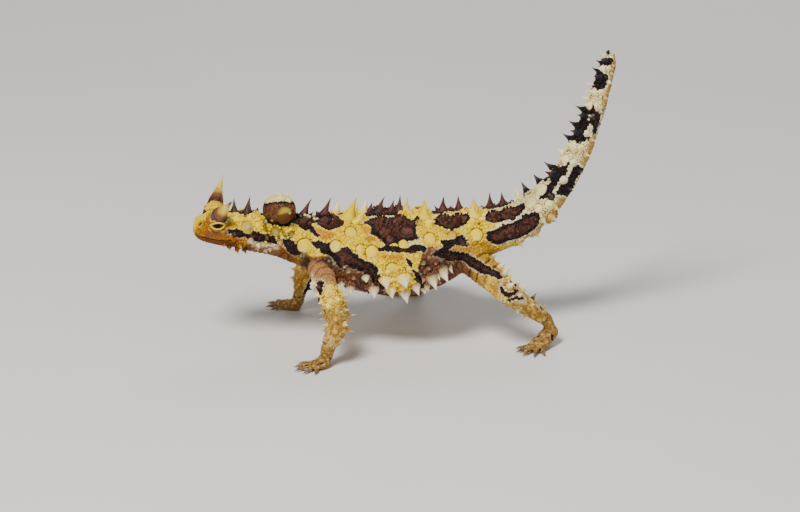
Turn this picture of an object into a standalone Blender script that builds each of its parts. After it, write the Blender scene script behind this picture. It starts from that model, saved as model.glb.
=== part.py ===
"""A thorny devil (Moloch horridus) walking with its tail raised, as a life-size still model.

The animal faces -X, its left side is -Y and it stands on the plane z = 0.
Lengths below are in millimetres unless a name says otherwise, and are turned into metres
when a mesh is made. Trunk means everything on the spine: head, neck, torso and tail.
"""

import math
import random

import bmesh
import bpy
from mathutils import Matrix, Vector

METRES = 0.001
SNOUT_VENT_MM = 95.0
DRAWN_SNOUT_VENT_MM = 95.0
SCALE = SNOUT_VENT_MM / DRAWN_SNOUT_VENT_MM * METRES
GAP = 0.3
SINK = 0.9
FULL_TURN = 2 * math.pi
UP = Vector((0, 0, 1))
# The middle of the drawing's box, moved to x = y = 0.
CENTRE_X = 0.19
CENTRE_Y = 3.79

# One row for each station from snout to tail tip, drawn for the snout-vent length above:
# x, z of the spine line, half width, rise above it and drop below it.
TRUNK_STATIONS = (
    (-66.9, 37.9, 1.3, 1.3, 1.4),
    (-66.3, 37.9, 3.0, 2.8, 2.8),
    (-65.0, 38.0, 4.8, 3.8, 3.7),
    (-62.8, 38.1, 6.3, 4.8, 4.3),
    (-59.8, 38.1, 7.6, 5.4, 4.7),
    (-56.5, 37.6, 8.3, 5.4, 4.9),
    (-53.0, 36.9, 8.2, 5.6, 5.1),
    (-49.5, 36.2, 7.3, 5.8, 5.4),
    (-46.0, 35.5, 6.9, 5.7, 5.7),
    (-41.0, 34.5, 7.6, 6.0, 6.0),
    (-36.0, 33.5, 9.2, 6.6, 6.8),
    (-31.0, 32.3, 11.6, 7.7, 8.0),
    (-24.0, 30.6, 15.0, 9.3, 9.8),
    (-15.0, 28.7, 18.4, 11.0, 11.5),
    (-4.5, 27.5, 20.2, 12.0, 12.2),
    (6.0, 28.1, 18.8, 11.4, 11.4),
    (14.0, 29.8, 14.8, 9.8, 9.6),
    (21.0, 31.5, 11.2, 8.2, 7.8),
    (27.4, 33.0, 9.2, 7.0, 6.8),
    (35.0, 35.2, 7.6, 6.2, 6.0),
    (42.5, 39.9, 6.3, 5.3, 5.2),
    (50.0, 47.6, 4.9, 4.3, 4.2),
    (56.0, 58.4, 4.0, 3.6, 3.5),
    (60.5, 70.5, 3.4, 3.1, 3.0),
    (63.6, 81.0, 2.9, 2.6, 2.5),
    (65.4, 87.6, 2.3, 2.0, 2.0),
    (66.0, 90.2, 1.2, 1.1, 1.1),
)
# Squareness of the cross-section: 2 is an ellipse.
BACK_POWER = 2.1
BELLY_POWER = 2.5

# The x at which one node of the trunk ends and the next begins.
HEAD_END_X = -48.2
NECK_END_X = -34.2
TORSO_END_X = 26.0
TAIL_CUTS_MM = (22.0, 40.0, 57.0)
RING_STEP = {"head": 1.9, "neck": 2.6, "torso": 3.2, "tail": 3.0}
RING_SIDES = {"head": 24, "neck": 20, "torso": 26, "tail": 14}

# Legs: root inside the body, elbow or knee, wrist or ankle, and where the middle toe ends.
FORE_RADII = (4.4, 3.9, 3.5, 3.8, 2.3)
HIND_RADII = (5.4, 4.6, 3.5, 3.1, 2.2)
LEGS = {
    "fore_left": ((-28.6, -9.0, 28.0), (-26.8, -25.2, 22.0), (-27.8, -27.2, 6.2), (-38.0, -31.6, 0.7)),
    "fore_right": ((-28.6, 9.0, 28.0), (-26.4, 25.4, 20.6), (-30.6, 26.2, 6.0), (-40.0, 31.6, 0.7)),
    "hind_left": ((17.6, -6.0, 28.6), (29.4, -21.0, 19.6), (43.0, -17.6, 8.4), (34.4, -27.6, 0.7)),
    "hind_right": ((17.6, 6.0, 28.6), (9.0, 26.0, 23.6), (9.6, 34.0, 6.2), (-1.6, 39.6, 0.7)),
}
# How far the middle of a lower limb bows from the straight line, and where a lifted heel stands.
BOWS = {"fore_left": Vector((2.4, 0.0, 0.0))}
HEELS = {"foot_left": Vector((44.2, -17.0, 3.9))}
LEG_NODES = {
    "fore": ("upper_arm", "forearm", "hand"),
    "hind": ("thigh", "shank", "foot"),
}
LIMB_SIDES = 12
LIMB_STEP = 2.2

HORN_BASE = Vector((-59.5, 5.7, 44.3))
HORN_AXIS = Vector((0.26, 0.74, 0.62)).normalized()
HORN_LENGTH = 10.5
HORN_RADIUS = 2.2
EYE_CENTRE = Vector((-60.0, 6.0, 41.1))
EYE_RADIUS = 1.9
LID_HALF_SIZE = Vector((3.1, 2.5, 2.3))
SLIT_HALF_SIZE = Vector((2.25, 2.2, 0.85))
NOSTRIL = Vector((-65.2, 3.3, 40.5))
NOSTRIL_RADIUS = 0.55
EAR = Vector((-51.4, 8.6, 36.8))
EAR_HALF_SIZE = Vector((1.0, 1.1, 1.6))
MOUTH_CORNER_X = -55.6
MOUTH_DEPTH = 0.7
MOUTH_HALF_THICKNESS = 0.17

KNOB_CENTRE = Vector((-39.8, 0.0, 43.0))
KNOB_HALF_SIZE = Vector((5.1, 6.3, 4.9))

COLOURS = {
    "skin_pale": (0.83, 0.66, 0.16),
    "skin_dark": (0.16, 0.06, 0.035),
    "limb_tan": (0.58, 0.40, 0.16),
    "horn_cream": (0.86, 0.78, 0.50),
    "eye_dark": (0.02, 0.015, 0.01),
}


def row_through(keys, rows, at):
    """Smooth values at one place, by cubic pieces through rows given at increasing keys."""
    last = len(keys) - 1
    at = min(max(at, keys[0]), keys[last])
    i = 0
    while i < last - 1 and at > keys[i + 1]:
        i += 1
    span = keys[i + 1] - keys[i]
    t = (at - keys[i]) / span

    def slope(j, column):
        low, high = max(j - 1, 0), min(j + 1, last)
        return (rows[high][column] - rows[low][column]) / (keys[high] - keys[low])

    made = []
    for column in range(len(rows[0])):
        a, b = rows[i][column], rows[i + 1][column]
        ma, mb = slope(i, column) * span, slope(i + 1, column) * span
        made.append(
            a * (1 + 2 * t) * (1 - t) ** 2
            + ma * t * (1 - t) ** 2
            + b * t * t * (3 - 2 * t)
            + mb * t * t * (t - 1)
        )
    return made


def running_lengths(points):
    lengths = [0.0]
    for a, b in zip(points, points[1:]):
        lengths.append(lengths[-1] + (b - a).length)
    return lengths


TRUNK_KEYS = running_lengths([Vector((x, 0, z)) for x, z, *_ in TRUNK_STATIONS])
TRUNK_LENGTH = TRUNK_KEYS[-1]


def along_at_x(x):
    """Distance along the spine line from the snout to a given x, ahead of the tail's bend."""
    for i in range(len(TRUNK_STATIONS) - 1):
        low, high = TRUNK_STATIONS[i][0], TRUNK_STATIONS[i + 1][0]
        if low <= x <= high:
            share = (x - low) / (high - low)
            return TRUNK_KEYS[i] + share * (TRUNK_KEYS[i + 1] - TRUNK_KEYS[i])
    raise ValueError(x)


HEAD_END = along_at_x(HEAD_END_X)
NECK_END = along_at_x(NECK_END_X)
TORSO_END = along_at_x(TORSO_END_X)
TAIL_ENDS = [TORSO_END + cut for cut in TAIL_CUTS_MM] + [TRUNK_LENGTH]


def trunk_frame(along):
    """Spine point, backward, sideways and upward directions, and the section's three sizes."""
    x, z, wide, rise, drop = row_through(TRUNK_KEYS, TRUNK_STATIONS, along)
    ahead = row_through(TRUNK_KEYS, TRUNK_STATIONS, along - 0.4)
    behind = row_through(TRUNK_KEYS, TRUNK_STATIONS, along + 0.4)
    back = Vector((behind[0] - ahead[0], 0, behind[1] - ahead[1])).normalized()
    side = Vector((0, 1, 0))
    return Vector((x, 0, z)), back, side, back.cross(side), wide, rise, drop


def trunk_point(along, angle, grow=0.0):
    """A point of the trunk's surface: angle 0 is the back line, positive towards +Y."""
    centre, _, side, up, wide, rise, drop = trunk_frame(along)
    sine, cosine = math.sin(angle), math.cos(angle)
    power = BACK_POWER if cosine > 0 else BELLY_POWER
    tall = (rise if cosine > 0 else drop) + grow
    across = math.copysign(abs(sine) ** (2 / power), sine) * (wide + grow)
    raised = math.copysign(abs(cosine) ** (2 / power), cosine) * tall
    return centre + side * across + up * raised


def trunk_skin(along, angle):
    """A surface point with its outward normal and the backward direction there."""
    here = trunk_point(along, angle)
    back = trunk_point(along + 0.3, angle) - trunk_point(along - 0.3, angle)
    round_it = trunk_point(along, angle + 0.03) - trunk_point(along, angle - 0.03)
    normal = back.cross(round_it).normalized()
    if normal.dot(here - trunk_frame(along)[0]) < 0:
        normal.negate()
    return here, normal, back.normalized()


def material(name):
    found = bpy.data.materials.get(name)
    if found:
        return found
    made = bpy.data.materials.new(name)
    made.use_nodes = True
    shader = made.node_tree.nodes["Principled BSDF"]
    shader.inputs["Base Color"].default_value = (*COLOURS[name], 1)
    shader.inputs["Roughness"].default_value = 0.12 if name == "eye_dark" else 0.6
    shader.inputs["Metallic"].default_value = 0.0
    made.diffuse_color = (*COLOURS[name], 1)
    return made


def solid(name, rings, skin="skin_pale", collection=None):
    """A closed mesh through rings of points, with a flat cap at each end. One point is a tip."""
    mesh = bpy.data.meshes.new(name)
    shape = bmesh.new()
    offset = Vector((CENTRE_X, CENTRE_Y, 0))
    loops = [[shape.verts.new((p - offset) * SCALE) for p in ring] for ring in rings]
    for a, b in zip(loops, loops[1:]):
        count = max(len(a), len(b))
        for i in range(count):
            j = (i + 1) % count
            corners = [a[i % len(a)], a[j % len(a)], b[j % len(b)], b[i % len(b)]]
            shape.faces.new(list(dict.fromkeys(corners)))
    for loop in (loops[0], loops[-1]):
        if len(loop) > 2:
            shape.faces.new(loop)
    bmesh.ops.recalc_face_normals(shape, faces=shape.faces)
    shape.to_mesh(mesh)
    shape.free()
    made = bpy.data.objects.new(name, mesh)
    mesh.materials.append(material(skin))
    (collection or bpy.context.scene.collection).objects.link(made)
    return made


def ball(name, centre, half_size, collection, turn=None, segments=12, rings=8, skin="skin_pale"):
    """A closed ellipsoid, with its own axes turned by the matrix if one is given."""
    turn = turn or Matrix.Identity(3)
    loops = []
    for i in range(1, rings):
        tilt = math.pi * i / rings
        loops.append([
            centre + turn @ Vector((
                half_size[0] * math.sin(tilt) * math.cos(FULL_TURN * k / segments),
                half_size[1] * math.sin(tilt) * math.sin(FULL_TURN * k / segments),
                half_size[2] * math.cos(tilt),
            ))
            for k in range(segments)
        ])
    top = [centre + turn @ Vector((0, 0, half_size[2]))]
    foot = [centre - turn @ Vector((0, 0, half_size[2]))]
    return solid(name, [top, *loops, foot], skin, collection)


def axes_round(direction):
    """Two directions at right angles to one direction and to each other."""
    first = direction.cross(UP if abs(direction.z) < 0.9 else Vector((1, 0, 0))).normalized()
    return first, direction.cross(first).normalized()


def disc(centre, direction, radius, sides, turn=0.0):
    first, second = axes_round(direction)
    return [
        centre
        + first * radius * math.cos(turn + FULL_TURN * k / sides)
        + second * radius * math.sin(turn + FULL_TURN * k / sides)
        for k in range(sides)
    ]


def spine(collection, base, direction, height, radius, sides=5, turn=0.0):
    """One thorn: a wide foot sunk in the skin, drawn in quickly to a sharp point."""
    direction = direction.normalized()
    foot = disc(base - direction * SINK, direction, radius * 1.1, sides, turn)
    waist = disc(base + direction * height * 0.42, direction, radius * 0.46, sides, turn)
    return solid("thorn", [foot, waist, [base + direction * height]], collection=collection)


def helper_collection(name):
    made = bpy.data.collections.new(name)
    bpy.context.scene.collection.children.link(made)
    return made


def drop_collection(collection):
    for piece in list(collection.objects):
        bpy.data.objects.remove(piece)
    bpy.data.collections.remove(collection)


def keep_largest_shell(mesh):
    """Leaves the closed surface with the most volume and drops loose scraps and sealed hollows."""
    shape = bmesh.new()
    shape.from_mesh(mesh)
    shape.faces.ensure_lookup_table()
    unseen = set(shape.faces)
    shells = []
    while unseen:
        shell, frontier = [], [next(iter(unseen))]
        unseen.discard(frontier[0])
        while frontier:
            face = frontier.pop()
            shell.append(face)
            for edge in face.edges:
                for other in edge.link_faces:
                    if other in unseen:
                        unseen.discard(other)
                        frontier.append(other)
        volume = sum(
            f.verts[0].co.dot(f.verts[i].co.cross(f.verts[i + 1].co)) / 6
            for f in shell
            for i in range(1, len(f.verts) - 1)
        )
        shells.append((abs(volume), len(shells), shell))
    shells.sort(reverse=True)
    loose = [face for _, _, shell in shells[1:] for face in shell]
    bmesh.ops.delete(shape, geom=loose, context="FACES")
    shape.to_mesh(mesh)
    shape.free()


def boolean(node, operation, collection, solver="EXACT"):
    """Joins or cuts a node by every solid in a collection, applies it and drops the collection."""
    if collection.objects:
        step = node.modifiers.new(operation.title(), "BOOLEAN")
        step.operation = operation
        step.operand_type = "COLLECTION"
        step.collection = collection
        step.solver = solver
        bpy.context.view_layer.update()
        graph = bpy.context.evaluated_depsgraph_get()
        mesh = bpy.data.meshes.new_from_object(node.evaluated_get(graph))
        node.modifiers.clear()
        node.data = mesh
        keep_largest_shell(node.data)
    drop_collection(collection)


def trunk_rings(start, end, step, sides, grow=0.0):
    count = max(2, round((end - start) / step))
    return [
        [
            trunk_point(start + (end - start) * i / count, FULL_TURN * k / sides, grow)
            for k in range(sides)
        ]
        for i in range(count + 1)
    ]


def trunk_piece(name, kind, start, end, skin="skin_pale", collection=None, grow=0.0):
    """A length of the trunk between two cuts across the spine line, half a gap short at each."""
    if start > 0:
        start += GAP / 2 - grow
    if end < TRUNK_LENGTH:
        end -= GAP / 2 - grow
    rings = trunk_rings(start, end, RING_STEP[kind], RING_SIDES[kind], grow)
    return solid(name, rings, skin, collection)


# Each row of thorns on the trunk: angle from the back line in degrees, first and last place
# in millimetres along the spine line, spacing, height and foot radius, and backward lean.
TORSO_ROWS = (
    (17, 3.0, 58.0, 7.4, 5.6, 2.2, 0.10),
    (38, 6.5, 55.0, 8.3, 5.2, 2.2, 0.12),
    (62, 2.8, 56.0, 9.4, 4.4, 2.3, 0.20),
    (90, 10.0, 44.0, 8.4, 5.2, 2.4, 0.35),
    (116, 12.0, 42.0, 7.0, 3.6, 1.7, 0.30),
)
NECK_ROWS = (
    (58, 2.0, 11.5, 9.0, 3.4, 1.5, 0.10),
    (92, 2.6, 11.4, 4.4, 3.0, 1.2, 0.30),
    (122, 3.0, 11.0, 4.0, 1.8, 0.8, 0.30),
)
TAIL_ROWS = (
    (24, 3.0, 71.0, 5.2, 4.2, 1.45, 0.05),
    (66, 5.5, 69.0, 6.0, 3.6, 1.35, 0.10),
    (106, 4.0, 66.0, 7.2, 2.9, 1.25, 0.15),
)
LEG_CLEARANCE = 1.2


def near_leg_root(point, radius):
    for name, joints in LEGS.items():
        root, elbow = Vector(joints[0]), Vector(joints[1])
        share = (point - root).dot(elbow - root) / (elbow - root).length_squared
        axis = root + (elbow - root) * min(max(share, 0), 1)
        thick = FORE_RADII[0] if name.startswith("fore") else HIND_RADII[0]
        if (point - axis).length < thick + radius + LEG_CLEARANCE:
            return True
    return False


def row_of_thorns(collection, rows, start, end, draw, shrink=lambda share: 1.0):
    """Sets rows of thorns on both sides of a length of trunk, clear of its two cuts."""
    for angle, first, last, spacing, height, radius, lean in rows:
        count = int((last - first) / spacing)
        for side in (-1, 1):
            for i in range(count + 1):
                along = start + first + spacing * i + draw.uniform(-0.5, 0.5)
                size = shrink((along - start) / (TRUNK_LENGTH - start)) * draw.uniform(0.88, 1.12)
                foot = radius * size * 1.1 + GAP
                if not start + foot <= along <= end - foot:
                    continue
                turn = math.radians(angle + draw.uniform(-3, 3)) * side
                base, normal, back = trunk_skin(along, turn)
                if near_leg_root(base, radius * size):
                    continue
                outward = normal + back * lean
                spine(collection, base, outward, height * size, radius * size, turn=draw.uniform(0, 6))


def torso():
    draw = random.Random(11)
    thorns = helper_collection("torso_thorns")
    row_of_thorns(thorns, TORSO_ROWS, NECK_END, TORSO_END, draw)
    node = trunk_piece("torso", "torso", NECK_END, TORSO_END)
    boolean(node, "UNION", thorns)
    return node


def neck():
    draw = random.Random(12)
    thorns = helper_collection("neck_thorns")
    row_of_thorns(thorns, NECK_ROWS, HEAD_END, NECK_END, draw)
    node = trunk_piece("neck", "neck", HEAD_END, NECK_END)
    boolean(node, "UNION", thorns)
    return node


KNOB_THORNS = (
    # offset from the knob's centre, direction, height and foot radius, for the +Y side
    ((0.6, 4.2, 0.8), (0.25, 0.86, 0.42), 6.4, 2.3),
    ((-1.6, 2.4, 3.4), (-0.25, 0.35, 0.9), 1.6, 1.0),
    ((2.4, 2.2, 3.2), (0.45, 0.3, 0.8), 1.7, 1.0),
)


def nuchal_knob():
    """The rounded false head on the neck, with its pair of large thorns."""
    parts = helper_collection("knob_parts")
    for offset, direction, height, radius in KNOB_THORNS:
        for side in (-1, 1):
            turn = Vector((1, side, 1))
            base = KNOB_CENTRE + Vector(offset) * turn
            spine(parts, base, Vector(direction) * turn, height, radius, sides=6)
    node = ball("nuchal_knob", KNOB_CENTRE, KNOB_HALF_SIZE, None, segments=16, rings=10)
    boolean(node, "UNION", parts)
    cutter = helper_collection("knob_cutter")
    trunk_piece("neck_room", "neck", HEAD_END, NECK_END + 8, collection=cutter, grow=GAP)
    boolean(node, "DIFFERENCE", cutter)
    return node


HEAD_THORNS = (
    # x, y, z near the surface, direction, height and foot radius, for the +Y side
    ((-56.0, 5.0, 41.7), (0.35, 0.35, 0.86), 2.4, 1.0),
    ((-53.6, 3.3, 41.8), (0.05, 0.20, 1.0), 4.0, 1.5),
    ((-50.6, 2.9, 41.4), (0.05, 0.15, 1.0), 5.0, 1.7),
    ((-50.6, 6.2, 39.4), (0.20, 0.85, 0.45), 2.6, 1.6),
    ((-49.9, 7.0, 35.6), (0.30, 0.90, -0.25), 3.0, 1.4),
    ((-53.6, 7.4, 34.4), (0.20, 0.85, -0.45), 2.2, 1.1),
    ((-56.4, 6.6, 33.8), (0.05, 0.70, -0.70), 1.5, 0.7),
    ((-51.4, 5.2, 32.2), (0.20, 0.50, -0.80), 1.7, 0.8),
    ((-63.2, 3.0, 42.2), (-0.45, 0.25, 0.85), 1.2, 0.8),
)


def head_width_at(x, z):
    """Half width of the head's surface at a height."""
    _, _, _, _, wide, rise, drop = trunk_frame(along_at_x(x))
    centre = trunk_frame(along_at_x(x))[0]
    tall = rise if z > centre.z else drop
    power = BACK_POWER if z > centre.z else BELLY_POWER
    share = min(abs(z - centre.z) / tall, 0.98)
    return wide * (1 - share**power) ** (1 / power)


def mouth_height(x):
    """The mouth line rises a little from the corner to the snout."""
    share = (x - TRUNK_STATIONS[0][0]) / (MOUTH_CORNER_X - TRUNK_STATIONS[0][0])
    return 36.2 - 1.5 * share + 0.7 * share * share


def mouth_cutter(collection):
    """A thin curved plate that cuts the line of the mouth round the snout to both corners."""
    steps = 9
    front = TRUNK_STATIONS[0][0] + 0.3
    places = [MOUTH_CORNER_X + (front - MOUTH_CORNER_X) * (i / steps) ** 0.75 for i in range(steps + 1)]
    line = [(x, head_width_at(x, mouth_height(x))) for x in places]
    route = [(x, wide) for x, wide in line] + [(x, -wide) for x, wide in reversed(line)]
    rings = []
    for i, (x, y) in enumerate(route):
        low, high = route[max(i - 1, 0)], route[min(i + 1, len(route) - 1)]
        run = Vector((high[0] - low[0], high[1] - low[1], 0)).normalized()
        out = Vector((-run.y, run.x, 0))
        if out.dot(Vector((x + 57.0, y, 0))) < 0:
            out.negate()
        place = Vector((x, y, mouth_height(x)))
        lift = UP * MOUTH_HALF_THICKNESS
        inner, outer = place - out * MOUTH_DEPTH, place + out * 1.2
        rings.append([inner - lift, outer - lift * 1.6, outer + lift * 1.6, inner + lift])
    solid("mouth", rings, collection=collection)


def head():
    parts = helper_collection("head_parts")
    cutters = helper_collection("head_cutters")
    for side in (-1, 1):
        turn = Vector((1, side, 1))
        ball("lids", EYE_CENTRE * turn, LID_HALF_SIZE, parts, segments=14, rings=9)
        axis = HORN_AXIS * turn
        base = HORN_BASE * turn
        boss = [
            disc(base - axis * 3.4, axis, HORN_RADIUS * 1.5, 10),
            disc(base - axis * GAP, axis, HORN_RADIUS * 1.12, 10),
        ]
        solid("horn_boss", boss, collection=parts)
        for place, direction, height, radius in HEAD_THORNS:
            spine(parts, Vector(place) * turn, Vector(direction) * turn, height, radius)
        seat = [disc(base - axis * GAP * 0.9, axis, HORN_RADIUS * 1.2, 10), disc(base + axis * 5, axis, HORN_RADIUS * 1.2, 10)]
        solid("horn_seat", seat, collection=cutters)
        ball("socket", EYE_CENTRE * turn, [EYE_RADIUS + GAP] * 3, cutters, segments=12, rings=8)
        slit = (EYE_CENTRE + Vector((0, 1.6, 0))) * turn
        ball("slit", slit, SLIT_HALF_SIZE, cutters, segments=12, rings=6)
        ball("nostril", NOSTRIL * turn, [NOSTRIL_RADIUS] * 3, cutters, segments=8, rings=6)
        ball("ear", EAR * turn, EAR_HALF_SIZE, cutters, segments=8, rings=6)
    mouth_cutter(cutters)
    node = trunk_piece("head", "head", 0, HEAD_END)
    boolean(node, "UNION", parts)
    boolean(node, "DIFFERENCE", cutters)
    return node


def horn(side, name):
    """A stout horn over the eye, curving up and back to a sharp point."""
    turn = Vector((1, side, 1))
    axis, base = HORN_AXIS * turn, HORN_BASE * turn
    bend = Vector((0.15, 0, 0.05))
    profile = ((0.0, 1.0), (0.2, 0.93), (0.45, 0.70), (0.7, 0.40), (0.88, 0.18))
    rings = [
        disc(base + axis * HORN_LENGTH * t + bend * HORN_LENGTH * t * t * 0.5, axis + bend * t, HORN_RADIUS * r, 9)
        for t, r in profile
    ]
    tip = base + axis * HORN_LENGTH + bend * HORN_LENGTH * 0.5
    return solid(name, [*rings, [tip]], "horn_cream")


def eye(side, name):
    return ball(
        name, EYE_CENTRE * Vector((1, side, 1)), [EYE_RADIUS] * 3, None, segments=14, rings=10, skin="eye_dark"
    )


def tail_shrink(share):
    return 1.0 - 0.45 * share


def tail_pieces():
    starts = [TORSO_END, *TAIL_ENDS[:-1]]
    names = ("tail_base", "tail_fore", "tail_rear", "tail_tip")
    made = []
    for name, start, end in zip(names, starts, TAIL_ENDS):
        draw = random.Random(20 + len(made))
        thorns = helper_collection(name + "_thorns")
        for angle, first, last, spacing, height, radius, lean in TAIL_ROWS:
            count = int((last - first) / spacing)
            for i in range(count + 1):
                place = TORSO_END + first + spacing * i
                size = tail_shrink((place - TORSO_END) / (TRUNK_LENGTH - TORSO_END))
                foot = radius * size * 1.1 + GAP
                if not start <= place < end:
                    continue
                place = min(max(place, start + foot), end - foot)
                for side in (-1, 1):
                    each = size * draw.uniform(0.9, 1.1)
                    base, normal, back = trunk_skin(place, math.radians(angle) * side)
                    spine(thorns, base, normal + back * lean, height * each, radius * each)
        node = trunk_piece(name, "tail", start, end)
        boolean(node, "UNION", thorns)
        made.append(node)
    return made


def limb_path(joints, bow):
    """A smooth line from the root through the elbow or knee to the wrist or ankle."""
    points = [Vector(p) for p in joints]
    root, elbow, wrist = points[:3]
    return [root, root.lerp(elbow, 0.55), elbow, elbow.lerp(wrist, 0.5) + bow, wrist]


def limb_frame(path, radii, along):
    keys = running_lengths(path)
    rows = [(*p, r) for p, r in zip(path, radii)]
    x, y, z, radius = row_through(keys, rows, along)
    ahead = row_through(keys, rows, min(along + 0.3, keys[-1]))
    behind = row_through(keys, rows, max(along - 0.3, 0))
    run = Vector([a - b for a, b in zip(ahead[:3], behind[:3])]).normalized()
    return Vector((x, y, z)), run, radius


def limb_rings(path, radii, start, end):
    """Rings that keep their turn about the path, half a gap short of the joint at each end."""
    count = max(2, round((end - start) / LIMB_STEP))
    rings = []
    _, run, _ = limb_frame(path, radii, start)
    first, _ = axes_round(run)
    for i in range(count + 1):
        centre, run, radius = limb_frame(path, radii, start + (end - start) * i / count)
        centre = centre + run * (GAP / 2 * ((i == 0) - (i == count)))
        first = (first - run * first.dot(run)).normalized()
        second = run.cross(first)
        rings.append([
            centre
            + (first * math.cos(FULL_TURN * k / LIMB_SIDES) + second * math.sin(FULL_TURN * k / LIMB_SIDES))
            * radius
            for k in range(LIMB_SIDES)
        ])
    return rings


def limb_thorns(collection, path, radii, start, end, cuts, count, height, radius, draw):
    """Thorns wound round a limb by the golden angle, each wholly on its own side of every cut."""
    golden = math.pi * (3 - math.sqrt(5))
    _, run, _ = limb_frame(path, radii, start)
    first, _ = axes_round(run)
    for i in range(count):
        along = start + (end - start) * (i + 0.5) / count
        centre, run, thick = limb_frame(path, radii, along)
        first = (first - run * first.dot(run)).normalized()
        outward = first * math.cos(golden * i) + run.cross(first) * math.sin(golden * i)
        size = draw.uniform(0.85, 1.15)
        base = centre + outward * thick
        tip = base + outward * height * size
        if all(
            way * (base - joint).dot(axis) > radius * size * 1.1 + GAP and way * (tip - joint).dot(axis) > GAP
            for joint, axis, way in cuts
        ):
            spine(collection, base, outward + run * 0.1, height * size, radius * size)


DIGIT_ANGLES = (-52, -27, -3, 21, 46)
DIGIT_LENGTHS = (3.6, 4.6, 5.2, 4.8, 3.8)
DIGIT_RADIUS = 0.85
CLAW_LENGTH = 2.3
HEEL_DROP = 3.0
# Share of the way from heel to knuckles, half width and half height of the palm or sole.
PALM_RINGS = ((-0.32, 1.2, 0.9), (-0.2, 2.2, 1.7), (0.05, 2.7, 2.2), (0.5, 2.9, 1.9), (0.9, 3.2, 1.6), (1.1, 2.8, 1.3))


def extremity(name, path, radii, toe_tip):
    """A hand or foot: a palm that spreads to five stout digits with claws, flat on the floor."""
    wrist, run, radius = limb_frame(path, radii, running_lengths(path)[-1])
    tip = Vector(toe_tip)
    reach = Vector((tip.x - wrist.x, tip.y - wrist.y, 0))
    ahead = reach.normalized()
    side = UP.cross(ahead)
    heel = HEELS[name] if name in HEELS else Vector((*(wrist + run * HEEL_DROP).xy, 1.9))
    knuckle = Vector((tip.x, tip.y, 1.15)) - ahead * (DIGIT_LENGTHS[2] + CLAW_LENGTH * 0.6)
    along = (knuckle - heel).normalized()
    lift = along.cross(side)
    rings = []
    for share, wide, tall in PALM_RINGS:
        middle = heel.lerp(knuckle, share)
        rings.append([
            middle + side * wide * math.cos(FULL_TURN * k / 12) + lift * tall * math.sin(FULL_TURN * k / 12)
            for k in range(12)
        ])
    node = solid(name, rings, "limb_tan")
    parts = helper_collection(name + "_digits")
    sink = (heel - wrist).normalized()
    ankle = [
        disc(wrist + run * GAP, run, radius, 12),
        disc(wrist.lerp(heel, 0.6) + run * 0.4, (run + sink).normalized(), radius * 0.96, 12),
        disc(heel + UP * 0.2, sink, radius * 0.85, 12),
    ]
    solid("ankle", ankle, collection=parts)
    for angle, length in zip(DIGIT_ANGLES, DIGIT_LENGTHS):
        turn = Matrix.Rotation(math.radians(angle), 3, "Z")
        way = turn @ ahead
        base = knuckle + (way - ahead) * 1.6 - way * 1.2
        points = [base, base + way * (length * 0.55 + 1.2) + UP * 0.35, base + way * (length + 1.2) - UP * 0.5]
        sizes = (DIGIT_RADIUS * 1.15, DIGIT_RADIUS, DIGIT_RADIUS * 0.8)
        digit = [disc(p, way, r, 6) for p, r in zip(points, sizes)]
        solid("digit", digit, collection=parts)
        claw_run = (way - UP * 0.22).normalized()
        claw = [
            disc(points[2] - way * 0.8 + UP * 0.1, claw_run, 0.62, 5),
            disc(points[2] + way * CLAW_LENGTH * 0.45 + UP * 0.1, claw_run, 0.36, 5),
            [points[2] + way * CLAW_LENGTH - UP * 0.55],
        ]
        solid("claw", claw, collection=parts)
    boolean(node, "UNION", parts)
    floor = helper_collection(name + "_floor")
    ground = Vector((knuckle.x, knuckle.y, -5))
    solid("floor", [disc(ground, UP, 25, 8), disc(ground + UP * 5, UP, 25, 8)], collection=floor)
    boolean(node, "DIFFERENCE", floor)
    return node


def leg(name):
    """Upper and lower limb and hand or foot, with the root cut to the body's surface."""
    kind, side = name.split("_")
    joints = LEGS[name]
    radii = FORE_RADII if kind == "fore" else HIND_RADII
    path = limb_path(joints, BOWS.get(name, Vector()))
    keys = running_lengths(path)
    draw = random.Random(len(name) * 7 + (side == "left"))
    upper_name, lower_name, end_name = (f"{part}_{side}" for part in LEG_NODES[kind])
    elbow = keys[2]
    upper = solid(upper_name, limb_rings(path, radii, 0, elbow), "limb_tan")
    thorns = helper_collection(upper_name + "_thorns")
    clear = 9.5 if kind == "fore" else 12.0
    elbow_cut = (path[2], limb_frame(path, radii, elbow)[1])
    wrist_cut = (path[4], limb_frame(path, radii, keys[-1])[1])
    limb_thorns(thorns, path, radii, clear, elbow, [(*elbow_cut, -1)], 8, 2.8, 1.1, draw)
    boolean(upper, "UNION", thorns)
    room = helper_collection(upper_name + "_room")
    trunk_piece("room", "torso", NECK_END, TORSO_END, collection=room, grow=GAP)
    boolean(upper, "DIFFERENCE", room)
    lower = solid(lower_name, limb_rings(path, radii, elbow, keys[-1]), "limb_tan")
    thorns = helper_collection(lower_name + "_thorns")
    limb_thorns(thorns, path, radii, elbow, keys[-1], [(*elbow_cut, 1), (*wrist_cut, -1)], 14, 2.3, 0.95, draw)
    boolean(lower, "UNION", thorns)
    end = extremity(f"{end_name}", path, radii, joints[3])
    return upper, lower, end


def build():
    for old in list(bpy.data.objects):
        bpy.data.objects.remove(old)
    made = [head(), neck(), nuchal_knob(), torso(), *tail_pieces()]
    for side, word in ((-1, "left"), (1, "right")):
        made.append(horn(side, f"horn_{word}"))
        made.append(eye(side, f"eye_{word}"))
    for name in LEGS:
        made.extend(leg(name))
    for node in made:
        node.data.shade_smooth()
        node.data.set_sharp_from_angle(angle=math.radians(35))


build()
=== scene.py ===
"""The looks of a walking thorny devil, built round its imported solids.

Every length here is in millimetres in the drawing of the part's source, until a mesh is made:
then the drawing's middle is moved to the origin and millimetres become metres. Places on the
trunk are given as millimetres along the spine line from the snout, and as millimetres round the
body from the back line.
"""

import itertools
import math

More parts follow.
